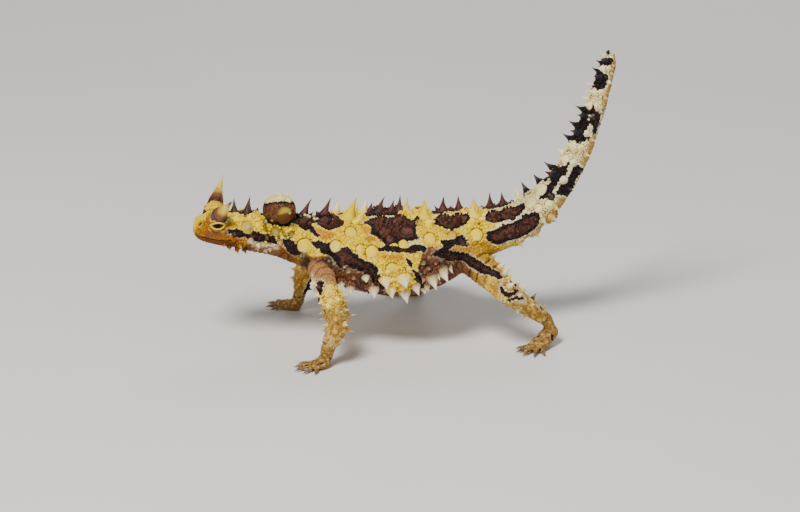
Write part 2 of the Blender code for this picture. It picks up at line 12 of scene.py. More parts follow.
import bmesh
import bpy
import numpy as np
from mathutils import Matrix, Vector


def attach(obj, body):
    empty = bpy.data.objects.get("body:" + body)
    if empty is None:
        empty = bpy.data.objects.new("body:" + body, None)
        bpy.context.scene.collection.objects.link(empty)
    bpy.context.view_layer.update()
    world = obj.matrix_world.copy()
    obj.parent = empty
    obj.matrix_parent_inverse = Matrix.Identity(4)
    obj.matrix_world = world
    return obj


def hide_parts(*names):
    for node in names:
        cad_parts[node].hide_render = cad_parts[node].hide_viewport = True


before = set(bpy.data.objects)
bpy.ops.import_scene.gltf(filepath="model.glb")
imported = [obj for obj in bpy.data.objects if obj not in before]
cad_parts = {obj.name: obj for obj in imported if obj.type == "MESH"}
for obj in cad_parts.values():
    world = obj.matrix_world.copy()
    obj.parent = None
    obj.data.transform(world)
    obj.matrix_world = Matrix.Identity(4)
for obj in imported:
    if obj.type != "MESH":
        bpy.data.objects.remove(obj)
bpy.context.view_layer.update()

METRES = 0.001
MIDDLE = np.array([0.19, 3.79, 0.0])
FULL_TURN = 2 * math.pi
NEAR, FAR = -1, 1
SIDES = ((NEAR, "left"), (FAR, "right"))

# The trunk's own shape

# x, z of the spine line, half width, rise above it and drop below it, as in the part's source.
TRUNK_STATIONS = np.array([
    (-66.9, 37.9, 1.3, 1.3, 1.4),
    (-66.3, 37.9, 3.0, 2.8, 2.8),
    (-65.0, 38.0, 4.8, 3.8, 3.7),
    (-62.8, 38.1, 6.3, 4.8, 4.3),
    (-59.8, 38.1, 7.6, 5.4, 4.7),
    (-56.5, 37.6, 8.3, 5.4, 4.9),
    (-53.0, 36.9, 8.2, 5.6, 5.1),
    (-49.5, 36.2, 7.3, 5.8, 5.4),
    (-46.0, 35.5, 6.9, 5.7, 5.7),
    (-41.0, 34.5, 7.6, 6.0, 6.0),
    (-36.0, 33.5, 9.2, 6.6, 6.8),
    (-31.0, 32.3, 11.6, 7.7, 8.0),
    (-24.0, 30.6, 15.0, 9.3, 9.8),
    (-15.0, 28.7, 18.4, 11.0, 11.5),
    (-4.5, 27.5, 20.2, 12.0, 12.2),
    (6.0, 28.1, 18.8, 11.4, 11.4),
    (14.0, 29.8, 14.8, 9.8, 9.6),
    (21.0, 31.5, 11.2, 8.2, 7.8),
    (27.4, 33.0, 9.2, 7.0, 6.8),
    (35.0, 35.2, 7.6, 6.2, 6.0),
    (42.5, 39.9, 6.3, 5.3, 5.2),
    (50.0, 47.6, 4.9, 4.3, 4.2),
    (56.0, 58.4, 4.0, 3.6, 3.5),
    (60.5, 70.5, 3.4, 3.1, 3.0),
    (63.6, 81.0, 2.9, 2.6, 2.5),
    (65.4, 87.6, 2.3, 2.0, 2.0),
    (66.0, 90.2, 1.2, 1.1, 1.1),
])
BACK_POWER, BELLY_POWER = 2.1, 2.5
LINE_STEP = 0.25


def running(points):
    return np.concatenate([[0], np.cumsum(np.linalg.norm(np.diff(points, axis=0), axis=1))])


def smooth_rows(keys, rows, places):
    """Rows read at other places along the keys, by cubic pieces with mean slopes."""
    ahead, behind = np.roll(keys, -1), np.roll(keys, 1)
    ahead[-1], behind[0] = keys[-1], keys[0]
    first, last = np.roll(rows, 1, 0), np.roll(rows, -1, 0)
    first[0], last[-1] = rows[0], rows[-1]
    slopes = (last - first) / (ahead - behind)[:, None]
    i = np.clip(np.searchsorted(keys, places, side="right") - 1, 0, len(keys) - 2)
    span = (keys[i + 1] - keys[i])[:, None]
    t = ((places - keys[i])[:, None]) / span
    return (
        rows[i] * (1 + 2 * t) * (1 - t) ** 2
        + slopes[i] * span * t * (1 - t) ** 2
        + rows[i + 1] * t * t * (3 - 2 * t)
        + slopes[i + 1] * span * t * t * (t - 1)
    )


TRUNK_KEYS = running(TRUNK_STATIONS[:, :2])
TRUNK_LENGTH = TRUNK_KEYS[-1]
LINE = np.arange(0, TRUNK_LENGTH + LINE_STEP / 2, LINE_STEP)
LINE[-1] = TRUNK_LENGTH
LINE_ROWS = smooth_rows(TRUNK_KEYS, TRUNK_STATIONS, LINE)
_run = np.gradient(LINE_ROWS[:, :2], LINE, axis=0)
_run = np.stack([np.convolve(np.pad(c, 3, "edge"), np.ones(7) / 7, "valid") for c in _run.T], 1)
LINE_BACK = _run / np.linalg.norm(_run, axis=1)[:, None]
LINE_TABLE = np.hstack([LINE_ROWS, LINE_BACK])


def trunk_at(along):
    """Spine point (x, z), half width, rise, drop and the backward direction (x, z)."""
    return np.stack([np.interp(along, LINE, column) for column in LINE_TABLE.T], -1)


def trunk_surface(along, angle, grow=0.0):
    """Points on the trunk: angle 0 is the back line, positive towards the right side."""
    x, z, wide, rise, drop, back_x, back_z = np.moveaxis(trunk_at(along), -1, 0)
    sine, cosine = np.sin(angle), np.cos(angle)
    power = np.where(cosine > 0, BACK_POWER, BELLY_POWER)
    tall = np.where(cosine > 0, rise, drop) + grow
    across = np.sign(sine) * np.abs(sine) ** (2 / power) * (wide + grow)
    raised = np.sign(cosine) * np.abs(cosine) ** (2 / power) * tall
    return np.stack([x - back_z * raised, across, z + back_x * raised], -1)


ARC_ALONG = np.arange(0, TRUNK_LENGTH, 1.0)
ARC_ANGLE = np.linspace(0, math.pi, 73)
_arc_points = trunk_surface(ARC_ALONG[:, None] + 0 * ARC_ANGLE, ARC_ANGLE + 0 * ARC_ALONG[:, None])
ARC_TABLE = np.concatenate(
    [
        np.zeros((len(ARC_ALONG), 1)),
        np.cumsum(np.linalg.norm(np.diff(_arc_points, axis=1), axis=2), axis=1)
    ], 1
)


def between(table, i, j):
    """A table read between its rows and columns."""
    i = np.clip(i, 0, table.shape[0] - 1.001)
    j = np.clip(j, 0, table.shape[1] - 1.001)
    a, b = i.astype(int), j.astype(int)
    u, v = i - a, j - b
    return (
        table[a, b] * (1 - u) * (1 - v)
        + table[a + 1, b] * u * (1 - v)
        + table[a, b + 1] * (1 - u) * v
        + table[a + 1, b + 1] * u * v
    )


def arc_of(along, angle):
    return between(ARC_TABLE, np.asarray(along, float), np.abs(angle) / math.pi * (len(ARC_ANGLE) - 1))


def angle_of(along, arc):
    row = int(np.clip(round(along), 0, len(ARC_ALONG) - 1))
    return float(np.interp(arc, ARC_TABLE[row], ARC_ANGLE))


def nearest(points, line):
    """For each point, which point of the line lies nearest, and its squared distance."""
    best = np.full(len(points), np.inf)
    index = np.zeros(len(points), int)
    for i, place in enumerate(line):
        away = np.sum((points - place) ** 2, axis=1)
        closer = away < best
        best[closer] = away[closer]
        index[closer] = i
    return index, best


def trunk_coordinates(points):
    """For each point: place along the spine line, angle, arc from the back line, and how far out
    it lies as a share of the trunk's own section, 1 being the surface."""
    index = nearest(points[:, [0, 2]], LINE_ROWS[::2, :2])[0] * 2
    x, z = LINE_ROWS[index, 0], LINE_ROWS[index, 1]
    back = LINE_BACK[index]
    slip = (points[:, 0] - x) * back[:, 0] + (points[:, 2] - z) * back[:, 1]
    along = np.clip(LINE[index] + slip, 0, TRUNK_LENGTH)
    x, z, wide, rise, drop, back_x, back_z = trunk_at(along).T
    raised = -(points[:, 0] - x) * back_z + (points[:, 2] - z) * back_x
    power = np.where(raised > 0, BACK_POWER, BELLY_POWER)
    tall = np.where(raised > 0, rise, drop)
    across = np.abs(points[:, 1]) / wide
    up = np.abs(raised) / tall
    angle = np.arctan2(across ** (power / 2), np.sign(raised) * up ** (power / 2))
    out = (across**power + up**power) ** (1 / power)
    return along, angle, arc_of(along, angle), out


# The legs' own shape

LEGS = {
    "fore_left": ((-28.6, -9.0, 28.0), (-26.8, -25.2, 22.0), (-27.8, -27.2, 6.2), (-38.0, -31.6, 0.7)),
    "fore_right": ((-28.6, 9.0, 28.0), (-26.4, 25.4, 20.6), (-30.6, 26.2, 6.0), (-40.0, 31.6, 0.7)),
    "hind_left": ((17.6, -6.0, 28.6), (29.4, -21.0, 19.6), (43.0, -17.6, 8.4), (34.4, -27.6, 0.7)),
    "hind_right": ((17.6, 6.0, 28.6), (9.0, 26.0, 23.6), (9.6, 34.0, 6.2), (-1.6, 39.6, 0.7)),
}
BOWS = {"fore_left": (2.4, 0.0, 0.0)}
HEELS = {"hind_left": (44.2, -17.0, 3.9)}
LIMB_RADII = {"fore": (4.2, 3.7, 3.3, 3.6, 2.15), "hind": (5.2, 4.4, 3.3, 2.9, 2.05)}
HEEL_DROP = 3.0
DIGIT_ANGLES = (-52, -27, -3, 21, 46)
DIGIT_LENGTHS = (3.6, 4.6, 5.2, 4.8, 3.8)
DIGIT_RADIUS = 0.8
# Along a digit: share of its length, rise in millimetres, share of its radius.
DIGIT_RINGS = (
    (0, 0, 0.95), (0.3, 0.28, 0.9), (0.52, 0.42, 0.98), (0.7, 0.2, 0.85), (0.88, -0.15, 0.9),
    (1.0, -0.3, 0.62),
)
CLAW_LENGTH = 2.3
# Along a claw: share of its length, share of its thickness, drop in millimetres.
CLAW_RINGS = (
    (-0.25, 0.62, 0), (0.0, 0.60, 0), (0.25, 0.50, 0.02), (0.5, 0.36, 0.12), (0.75, 0.20, 0.30),
    (1.0, 0.03, 0.52),
)
# Along the palm or sole: share of its length, half width and half height.
PALM_RINGS = (
    (-0.32, 1.2, 0.9), (-0.2, 2.2, 1.7), (0.05, 2.7, 2.2), (0.5, 2.9, 1.9), (0.9, 3.2, 1.6),
    (1.1, 2.8, 1.3),
)


# Points that each leg's line is read at.
LIMB_STEPS = 120


def unit(vectors):
    return vectors / np.maximum(np.linalg.norm(vectors, axis=-1, keepdims=True), 1e-9)


class Limb:
    """One leg as a line from root to wrist or ankle, with a radius and two cross directions."""

    def __init__(self, name):
        self.name, self.kind = name, name.split("_")[0]
        self.side = NEAR if name.endswith("left") else FAR
        root, elbow, wrist, self.toe = (np.array(p, float) for p in LEGS[name])
        middle = (elbow + wrist) / 2 + np.array(BOWS.get(name, (0, 0, 0)))
        stations = np.array([root, root + (elbow - root) * 0.55, elbow, middle, wrist])
        keys = running(stations)
        self.length, self.elbow = keys[-1], keys[2]
        self.places = np.linspace(0, self.length, LIMB_STEPS + 1)
        rows = smooth_rows(keys, np.column_stack([stations, LIMB_RADII[self.kind]]), self.places)
        self.line, self.radius = rows[:, :3], rows[:, 3]
        self.run = unit(np.gradient(self.line, axis=0))
        blend = np.clip((np.abs(self.run[:, 2:]) - 0.45) / 0.4, 0, 1)
        hint = np.array([0, 0, 1.0]) * (1 - blend) + np.array([-1.0, 0, 0]) * blend
        self.top = unit(hint - self.run * np.sum(hint * self.run, 1)[:, None])
        self.out = np.cross(self.run, self.top) * self.side

    def surface(self, place, angle, grow=0.0):
        """Points round the limb: angle 0 is its top or front, a quarter turn its rear, then its
        outer side below the elbow or knee."""
        read = lambda rows: np.stack([np.interp(place, self.places, c) for c in rows.T], -1)
        radius = np.interp(place, self.places, self.radius) + grow
        direction = unit(
            read(self.top) * np.cos(angle)[..., None] + read(self.out) * np.sin(angle)[..., None]
        )
        return read(self.line) + direction * radius[..., None], direction

    def coordinates(self, points):
        """Place along the limb, angle, and distance from its line in its own radii."""
        index, best = nearest(points, self.line)
        offset = points - self.line[index]
        angle = np.arctan2(np.sum(offset * self.out[index], 1), np.sum(offset * self.top[index], 1))
        return self.places[index], angle, np.sqrt(best) / self.radius[index]

    def hand(self):
        """Heel, knuckles, forward and sideways directions of the palm or sole."""
        wrist, run = self.line[-1], self.run[-1]
        reach = (self.toe - wrist) * (1, 1, 0)
        ahead = unit(reach)
        side = np.cross((0, 0, 1), ahead)
        heel = np.array(HEELS.get(self.name, (*(wrist + run * HEEL_DROP)[:2], 1.9)))
        knuckle = np.array([self.toe[0], self.toe[1], 1.15]) - ahead * (DIGIT_LENGTHS[2] + CLAW_LENGTH * 0.6)
        return heel, knuckle, ahead, side


LIMBS = {name: Limb(name) for name in LEGS}

# Small mesh kit


def ring_of(centre, first, second, a, b, sides):
    turn = np.arange(sides) * FULL_TURN / sides
    return centre + np.outer(np.cos(turn) * a, first) + np.outer(np.sin(turn) * b, second)


def tube(rings):
    """A closed surface through rings with the same number of points each, as points and faces."""
    sides = len(rings[0])
    points = np.concatenate(rings)
    faces = []
    for r in range(len(rings) - 1):
        for k in range(sides):
            j = (k + 1) % sides
            faces.append((r * sides + k, r * sides + j, (r + 1) * sides + j, (r + 1) * sides + k))
    faces.append(tuple(range(sides))[::-1])
    faces.append(tuple((len(rings) - 1) * sides + k for k in range(sides)))
    return points, faces


def ellipsoid(centre, sizes, around=20, down=14):
    rings = []
    for i in range(1, down):
        tilt = math.pi * i / down
        turn = np.arange(around) * FULL_TURN / around
        ring = np.stack(
            [np.sin(tilt) * np.cos(turn), np.sin(tilt) * np.sin(turn), 0 * turn + math.cos(tilt)], 1,
        )
        rings.append(np.asarray(centre) + ring * sizes)
    return tube(rings)


def cross_axes(direction):
    """Two directions at right angles to each given direction."""
    direction = np.atleast_2d(direction)
    hint = np.where(np.abs(direction[:, 2:]) < 0.9, np.array([0, 0, 1.0]), np.array([1.0, 0, 0]))
    first = unit(np.cross(direction, hint))
    return first, np.cross(direction, first)


def joined(shells):
    points, faces, start = [], [], 0
    for shell_points, shell_faces in shells:
        points.append(shell_points)
        faces.extend(tuple(start + i for i in face) for face in shell_faces)
        start += len(shell_points)
    return np.concatenate(points), faces


def mesh_from(name, points, triangles=None, faces=None):
    """A mesh of millimetre points in the drawing, moved to the row frame in metres."""
    mesh = bpy.data.meshes.new(name)
    points = (np.asarray(points) - MIDDLE) * METRES
    if faces is not None:
        mesh.from_pydata(points, [], faces)
    else:
        count, corners = triangles.shape
        mesh.vertices.add(len(points))
        mesh.vertices.foreach_set("co", points.astype(np.float32).ravel())
        mesh.loops.add(count * corners)
        mesh.loops.foreach_set("vertex_index", triangles.astype(np.int32).ravel())
        mesh.polygons.add(count)
        mesh.polygons.foreach_set("loop_start", np.arange(0, count * corners, corners, dtype=np.int32))
        mesh.update(calc_edges=True)
    mesh.validate()
    mesh.shade_smooth()
    return mesh


def add_attributes(mesh, attributes):
    for name, values in attributes.items():
        values = np.asarray(values, np.float32)
        if values.ndim == 2:
            layer = mesh.attributes.new(name, "FLOAT_COLOR", "POINT")
            colours = np.ones((len(values), 4), np.float32)
            colours[:, :3] = values
            layer.data.foreach_set("color", colours.ravel())
        else:
            layer = mesh.attributes.new(name, "FLOAT", "POINT")
            layer.data.foreach_set("value", values)


def place_piece(name, mesh, material, slot, *nodes):
    """Puts a finished mesh in the scene, riding on the one body and standing for CAD nodes."""
    made = bpy.data.objects.new(name, mesh)
    bpy.context.scene.collection.objects.link(made)
    mesh.materials.append(material)
    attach(made, "root")
    if nodes:
        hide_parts(*nodes)
    return made


def rumple(points, size, seed, waves=9):
    """A smooth wandering value, about -1 to 1, that changes over the given distance."""
    draw = np.random.default_rng(seed)
    total = np.zeros(len(points))
    for _ in range(waves):
        way = unit(draw.normal(size=3)) * FULL_TURN / (size * draw.uniform(0.7, 1.6))
        total += np.sin(points @ way + draw.uniform(0, FULL_TURN))
    return total / math.sqrt(waves) * 0.7


def ramp(values, low, high):
    """0 below the low value, 1 above the high one, with soft ends."""
    t = np.clip((values - low) / (high - low), 0, 1)
    return t * t * (3 - 2 * t)


def fall(values, low, high):
    """1 below the low value, 0 above the high one."""
    return ramp(-values, -high, -low)


def window(values, low, rising, falling, high):
    """0 outside the outer two values, 1 between the inner two."""
    return ramp(values, low, rising) * fall(values, falling, high)


def groove(distance, width):
    return np.exp(-((distance / width) ** 2))


def folded(points):
    """Points brought over to the right side."""
    return np.column_stack([points[:, 0], np.abs(points[:, 1]), points[:, 2]])


# Markings

# Each outline is drawn on the left side: millimetres along from the snout, then down from the
# back line. The right side has the same outlines, drawn with a wavering hand.
RUSSET_PATCHES = {
    "nape": (
        (22, -2), (22.5, 3.5), (26, 5), (29.5, 5), (31, 3.5), (34, 7), (36, 8), (38, 11), (39, 10.5),
        (37, 7), (36, 3.5), (38, 3.5), (39, 6.5), (40.5, 8), (42.5, 8), (44.5, 7), (47, 3.5), (46.5, 2.2),
        (44.5, 1), (42, -2), (36, -2.5), (30, -3.5),
    ),
    "brow": ((6.6, 3.6), (9.4, 3.2), (10.6, 5.2), (9.8, 7.0), (7.0, 7.0), (6.2, 5.4)),
    "cheek": ((11, 9.2), (13.5, 8.7), (16, 8.7), (17, 9.2), (17, 10.3), (15, 11.7), (13, 11.2), (11.5, 10.7)),
    "throat": (
        (16.4, 8), (18, 8), (20, 8), (22, 8.5), (23, 9.5), (24.5, 8.5), (26, 9.5), (27, 11), (27, 12),
        (24.5, 11.5), (22.5, 11), (21, 11.5), (18, 11.5), (17, 11),
    ),
    "collar": (
        (28, 10), (29.5, 10), (31, 10.5), (32.5, 12.5), (34, 14), (35, 16.5), (33, 16.5), (31, 15),
        (29, 12.5),
    ),
    "shoulder": (
        (36.5, 12), (38.5, 12), (40, 13), (42, 13.5), (43.5, 15.5), (45, 16), (46, 15.5), (47.5, 16),
        (49, 17.5), (51, 19.5), (53, 21), (55, 22), (57, 24), (58.5, 27), (60, 30), (59.5, 32), (57.5, 31),
        (56, 28), (54, 25.5), (52, 24.5), (49, 22.5), (47, 21.5), (47, 23), (45, 21), (44, 19), (41, 17),
        (38.5, 15),
    ),
    "saddle": (
        (52, 4), (54, 3), (56.5, 0.5), (59, -1), (62, 0), (65, -1), (68, -1), (69.5, 2.5), (71, 4), (74, 4),
        (73, 6), (71.5, 8.5), (71, 11), (71, 13), (72, 14), (70, 15), (68, 15.5), (65, 15.5), (62.5, 16),
        (60, 17), (59, 16.5), (57.5, 14.5), (56.5, 13), (55, 11.5), (54, 12), (54.5, 10.5), (55, 9),
        (54.5, 6.5),
    ),
    "loin": (
        (79, 5), (80, 2), (82, 1), (84, 1.6), (86.5, 1.2), (88, 2), (90, 3.5), (91, 4.5), (90, 6), (88, 7),
        (86, 8.5), (84, 10), (82.5, 10.5), (82, 9.5), (80, 8.5), (79, 7),
    ),
    "rump": (
        (94, 5), (95.5, 3), (97, 1.6), (99, 1.8), (101, 1.0), (103, 1.0), (105.5, 1.8), (108, 2.2),
        (110.5, 3), (109, 5), (107, 6), (105, 6.5), (102, 6.5), (99.5, 7), (97.5, 7.5), (95.5, 6.5),
    ),
    "thigh_root": (
        (76.5, 18.6), (79.5, 17.6), (83, 17.9), (87, 18.0), (90.5, 18.6), (90.5, 21.2), (87, 21.2),
        (83, 21), (79.5, 21), (76.5, 20.6),
    ),
    "tail_side": (
        (93, 11), (95, 9.5), (97, 9.5), (98, 8.5), (100.5, 8), (103, 8), (105, 7.5), (107, 7), (110, 7),
        (112, 8), (113, 8), (111.5, 9.5), (110, 11.5), (107.5, 13), (105.5, 14), (103.5, 14), (101, 14),
        (99, 14), (98, 14.5), (96, 15), (95, 14.5), (93, 13),
    ),
}
BLACK_PATCHES = {
    "flank_patch": (
        (56, 18.5), (57, 17.5), (59, 17), (63, 17), (64.5, 18), (67, 18), (68, 17), (71, 16.5), (73, 17.5),
        (73, 18.5), (72, 19.5), (70, 19), (68, 20), (65, 19.5), (62, 19.5), (59.5, 19),
    ),
    "lobe_edge": (
        (65.5, 21.5), (67, 22), (68, 23), (67.3, 24.5), (68.6, 25.5), (70, 27), (71, 29), (70.5, 33),
        (69, 34), (69, 29.5), (67.8, 26.5), (66.8, 24.5),
    ),
    "groin": (
        (78.5, 14.5), (81, 14), (83, 13), (85, 12), (87, 12), (87, 13.5), (86.5, 15.5), (85, 15.5),
        (83.5, 15.5), (81.5, 16.5), (79.5, 18), (77.5, 19.5), (75.5, 20.5), (74, 20.5), (76, 18.5),
        (79, 17),
    ),
    "tail_one": (
        (114, 4.5), (116, 4), (118, 3), (120, 2.5), (122, 2), (122, -3), (126, -3), (128, 1.5), (130, 3),
        (131, 2.5), (131, 4), (129, 4.5), (126.5, 5), (124, 4.5), (121.5, 5), (119.5, 5.5), (118, 6.5),
        (116, 6),
    ),
    "tail_two": (
        (118.5, 7), (122, 6), (125, 6), (127.5, 6), (130, 5.5), (131, 5.5), (131, 7.5), (130, 9.5),
        (128, 9.5), (125.5, 9.5), (123, 11), (121, 12.5), (120.5, 9.5), (120, 7.5),
    ),
    "tail_three": (
        (136, -4), (137.5, 1), (136.5, 2.5), (138, 3.5), (138.5, 5), (140.5, 5.5), (142, 8), (146, 7.2),
        (150, 6), (149, 4.8), (150.5, 3), (148.8, 1.5), (149.5, -4),
    ),
    "tail_four": (
        (154.8, -4), (155.2, 2), (156.4, 4.4), (158.6, 5.0), (160.6, 4.4), (161.2, 2), (162.6, 0.6),
        (162.0, -4),
    ),
    "tail_five": ((163.4, -2.5), (165.8, -2.5), (166.2, 2.6), (164.6, 3.4), (163.6, 2)),
    "tail_end": ((167.6, -1), (169.4, -1), (169.2, 2.2), (167.8, 2)),
}
PALE_FLECKS = {
    "tail_fleck_a": ((140.6, 4.0), (144.5, 4.3), (144.5, 5.4), (141, 6.0)),
    "tail_fleck_b": ((145.6, 2.8), (147.4, 2.6), (147.4, 4.0), (145.8, 4.2)),
}
ORANGE_PATCHES = {
    "shoulder_rust": (
        (35.5, 4), (38, 6.5), (42, 9), (44, 10), (43, 12), (40.5, 12.5), (38.5, 11.5), (36.5, 8),
    ),
    "saddle_rust": (
        (51, 6.5), (53.5, 6.5), (54.5, 9), (53.8, 11), (56, 13), (56.5, 15), (54, 15.5), (52, 14), (53, 12),
        (52, 9),
    ),
    "flank_rust": (
        (57, 20), (60, 20), (63, 20.3), (65.5, 21), (67, 22.2), (64, 22.6), (61, 21.8), (58, 21.4),
    ),
    "loin_rust": ((79, 8.2), (81, 10.3), (83, 11.6), (85, 12), (84, 13), (81, 12.2), (79, 10)),
    "hip_rust": ((88, 13), (91, 13.4), (93, 13.2), (94, 15), (91, 15.8), (88, 15)),
}
# Round the feet of the tall spines on the right side of the crown.
CROWN_PATCHES = {
    "fore_spine": ((12.0, 1.6), (13.4, 1.0), (15.4, 1.6), (15.8, 3.6), (14.6, 5.4), (12.4, 5.0)),
    "hind_spine": ((16.0, 0.8), (18.0, 0.2), (20.6, 0.6), (21.6, 3.0), (20.0, 5.6), (17.0, 5.6), (15.8, 3.4)),
}
HIP_PATCH = (
    (79, 15.6), (82, 14.9), (87, 14.6), (91, 14.4), (95, 14.8), (95.5, 17), (92, 18), (88, 17.8),
    (84, 17.6), (80.5, 17.2),
)
CHEEK_RUST = ((4.5, 8.2), (7, 7.6), (9.5, 8.6), (11.5, 9.8), (12.5, 12.5), (8, 14.5), (4, 12))


def outline_depth(u, v, outline):
    """Distance in from an outline, negative outside it, for every point (u, v)."""
    outline = np.asarray(outline, float)
    following = np.roll(outline, -1, 0)
    low, high = outline.min(0) + OUTSIDE, outline.max(0) - OUTSIDE
    depth = np.full(len(u), OUTSIDE)
    near = np.flatnonzero((u > low[0]) & (u < high[0]) & (v > low[1]) & (v < high[1]))
    if not len(near):
        return depth
    p, q = u[near], v[near]
    away = np.full(len(near), np.inf)
    inside = np.zeros(len(near), bool)
    for (ax, ay), (bx, by) in zip(outline, following):
        ex, ey = bx - ax, by - ay
        t = np.clip(((p - ax) * ex + (q - ay) * ey) / max(ex * ex + ey * ey, 1e-9), 0, 1)
        away = np.minimum(away, np.hypot(p - ax - ex * t, q - ay - ey * t))
        crosses = (ay > q) != (by > q)
        inside ^= crosses & (p < ax + ex * (q - ay) / (ey if ey else 1e-9))
    depth[near] = np.where(inside, away, -away)
    return depth


def deepest(u, v, outlines):
    """How deep each point lies in whichever outline holds it most deeply."""
    return np.maximum.reduce([outline_depth(u, v, outline) for outline in outlines.values()])


YELLOW = (0.98, 0.68, 0.0)
PALE_YELLOW = (1.0, 0.83, 0.02)
LIMB_LEMON = (0.95, 0.68, 0.07)
CREAM = (0.90, 0.77, 0.36)
OCHRE = (0.50, 0.24, 0.015)
RUST = (0.50, 0.13, 0.010)
FLANK_RUSSET = (0.17, 0.066, 0.036)
BELLY_TAN = (0.42, 0.22, 0.07)
SNOUT_TAN = (0.35, 0.115, 0.004)
JAW_BROWN = (0.15, 0.040, 0.004)
LIMB_TAN = (0.48, 0.26, 0.035)
HAND_BROWN = (0.33, 0.18, 0.04)
GRANULE_TAN = (0.66, 0.46, 0.16)
# Brown speckle on hands and feet, and painted shade between the granules of the lower legs.
GAP_SPECK_AND_SHADE = (0.12, 0.055, 0.012)
SHOULDER_BROWN = (0.46, 0.22, 0.085)
THROAT_CREAM = (0.84, 0.62, 0.33)
HIP_OCHRE = (0.62, 0.34, 0.015)
LIMB_CREAM = (0.80, 0.64, 0.22)
BLACK = (0.0025, 0.003, 0.007)
# Painted shade in the creases of neck, shoulders, legs and hips.
CREASE_SHADE = (0.07, 0.022, 0.008)

# Depth given to what lies outside every outline.
OUTSIDE = -4.0
# The place along that the drawing of the markings is stretched from.
DRAWN_MIDDLE = 68
BACK_LINE_HALF_WIDTH = 0.95
# Along the thigh, as a share of it: where round the leg the dark stripe runs.
THIGH_STRIPE = ((0.1, 0.2, 0.4, 0.6, 0.76, 0.95), (-1.23, -1.13, -0.95, -0.74, -0.25, 0.2))
# Dark spots round the knee: place along the thigh, angle round the leg, size.
KNEE_SPOTS = ((1.03, -0.9, 1.3), (1.13, -1.9, 1.2), (1.05, 0.5, 1.2), (1.45, -0.2, 0.9), (1.62, -1.2, 0.9))

# Along the body: how far down from the back line the yellow reaches before the russet flank.
YELLOW_EDGE = np.array([
    (0, 9.5), (12, 9), (18, 8.5), (24, 9.5), (30, 11.5), (34, 14), (38, 17.5), (44, 17), (50, 20.5),
    (56, 24.5),
    (59, 30), (64, 34), (68, 31), (70, 23), (72, 17.6), (78, 16.6), (84, 15.5), (90, 15.5), (96, 16),
    (104, 15), (112, 13),
])


def stretch(arc):
    """How much further from the middle of the body a place lies than it was first measured."""
    return 1.012 + 0.001 * arc


def narrowing(along):
    """How much closer to the back line head and neck carry their markings than drawn."""
    return np.interp(along, (0, 30, 44), (0.93, 0.95, 1.0))


def layered(colour, *layers):
    """Colours laid over one another in order, each with its weight at every point."""
    for tone, weight in layers:
        colour = colour + (np.asarray(tone) - colour) * weight[:, None]
    return colour


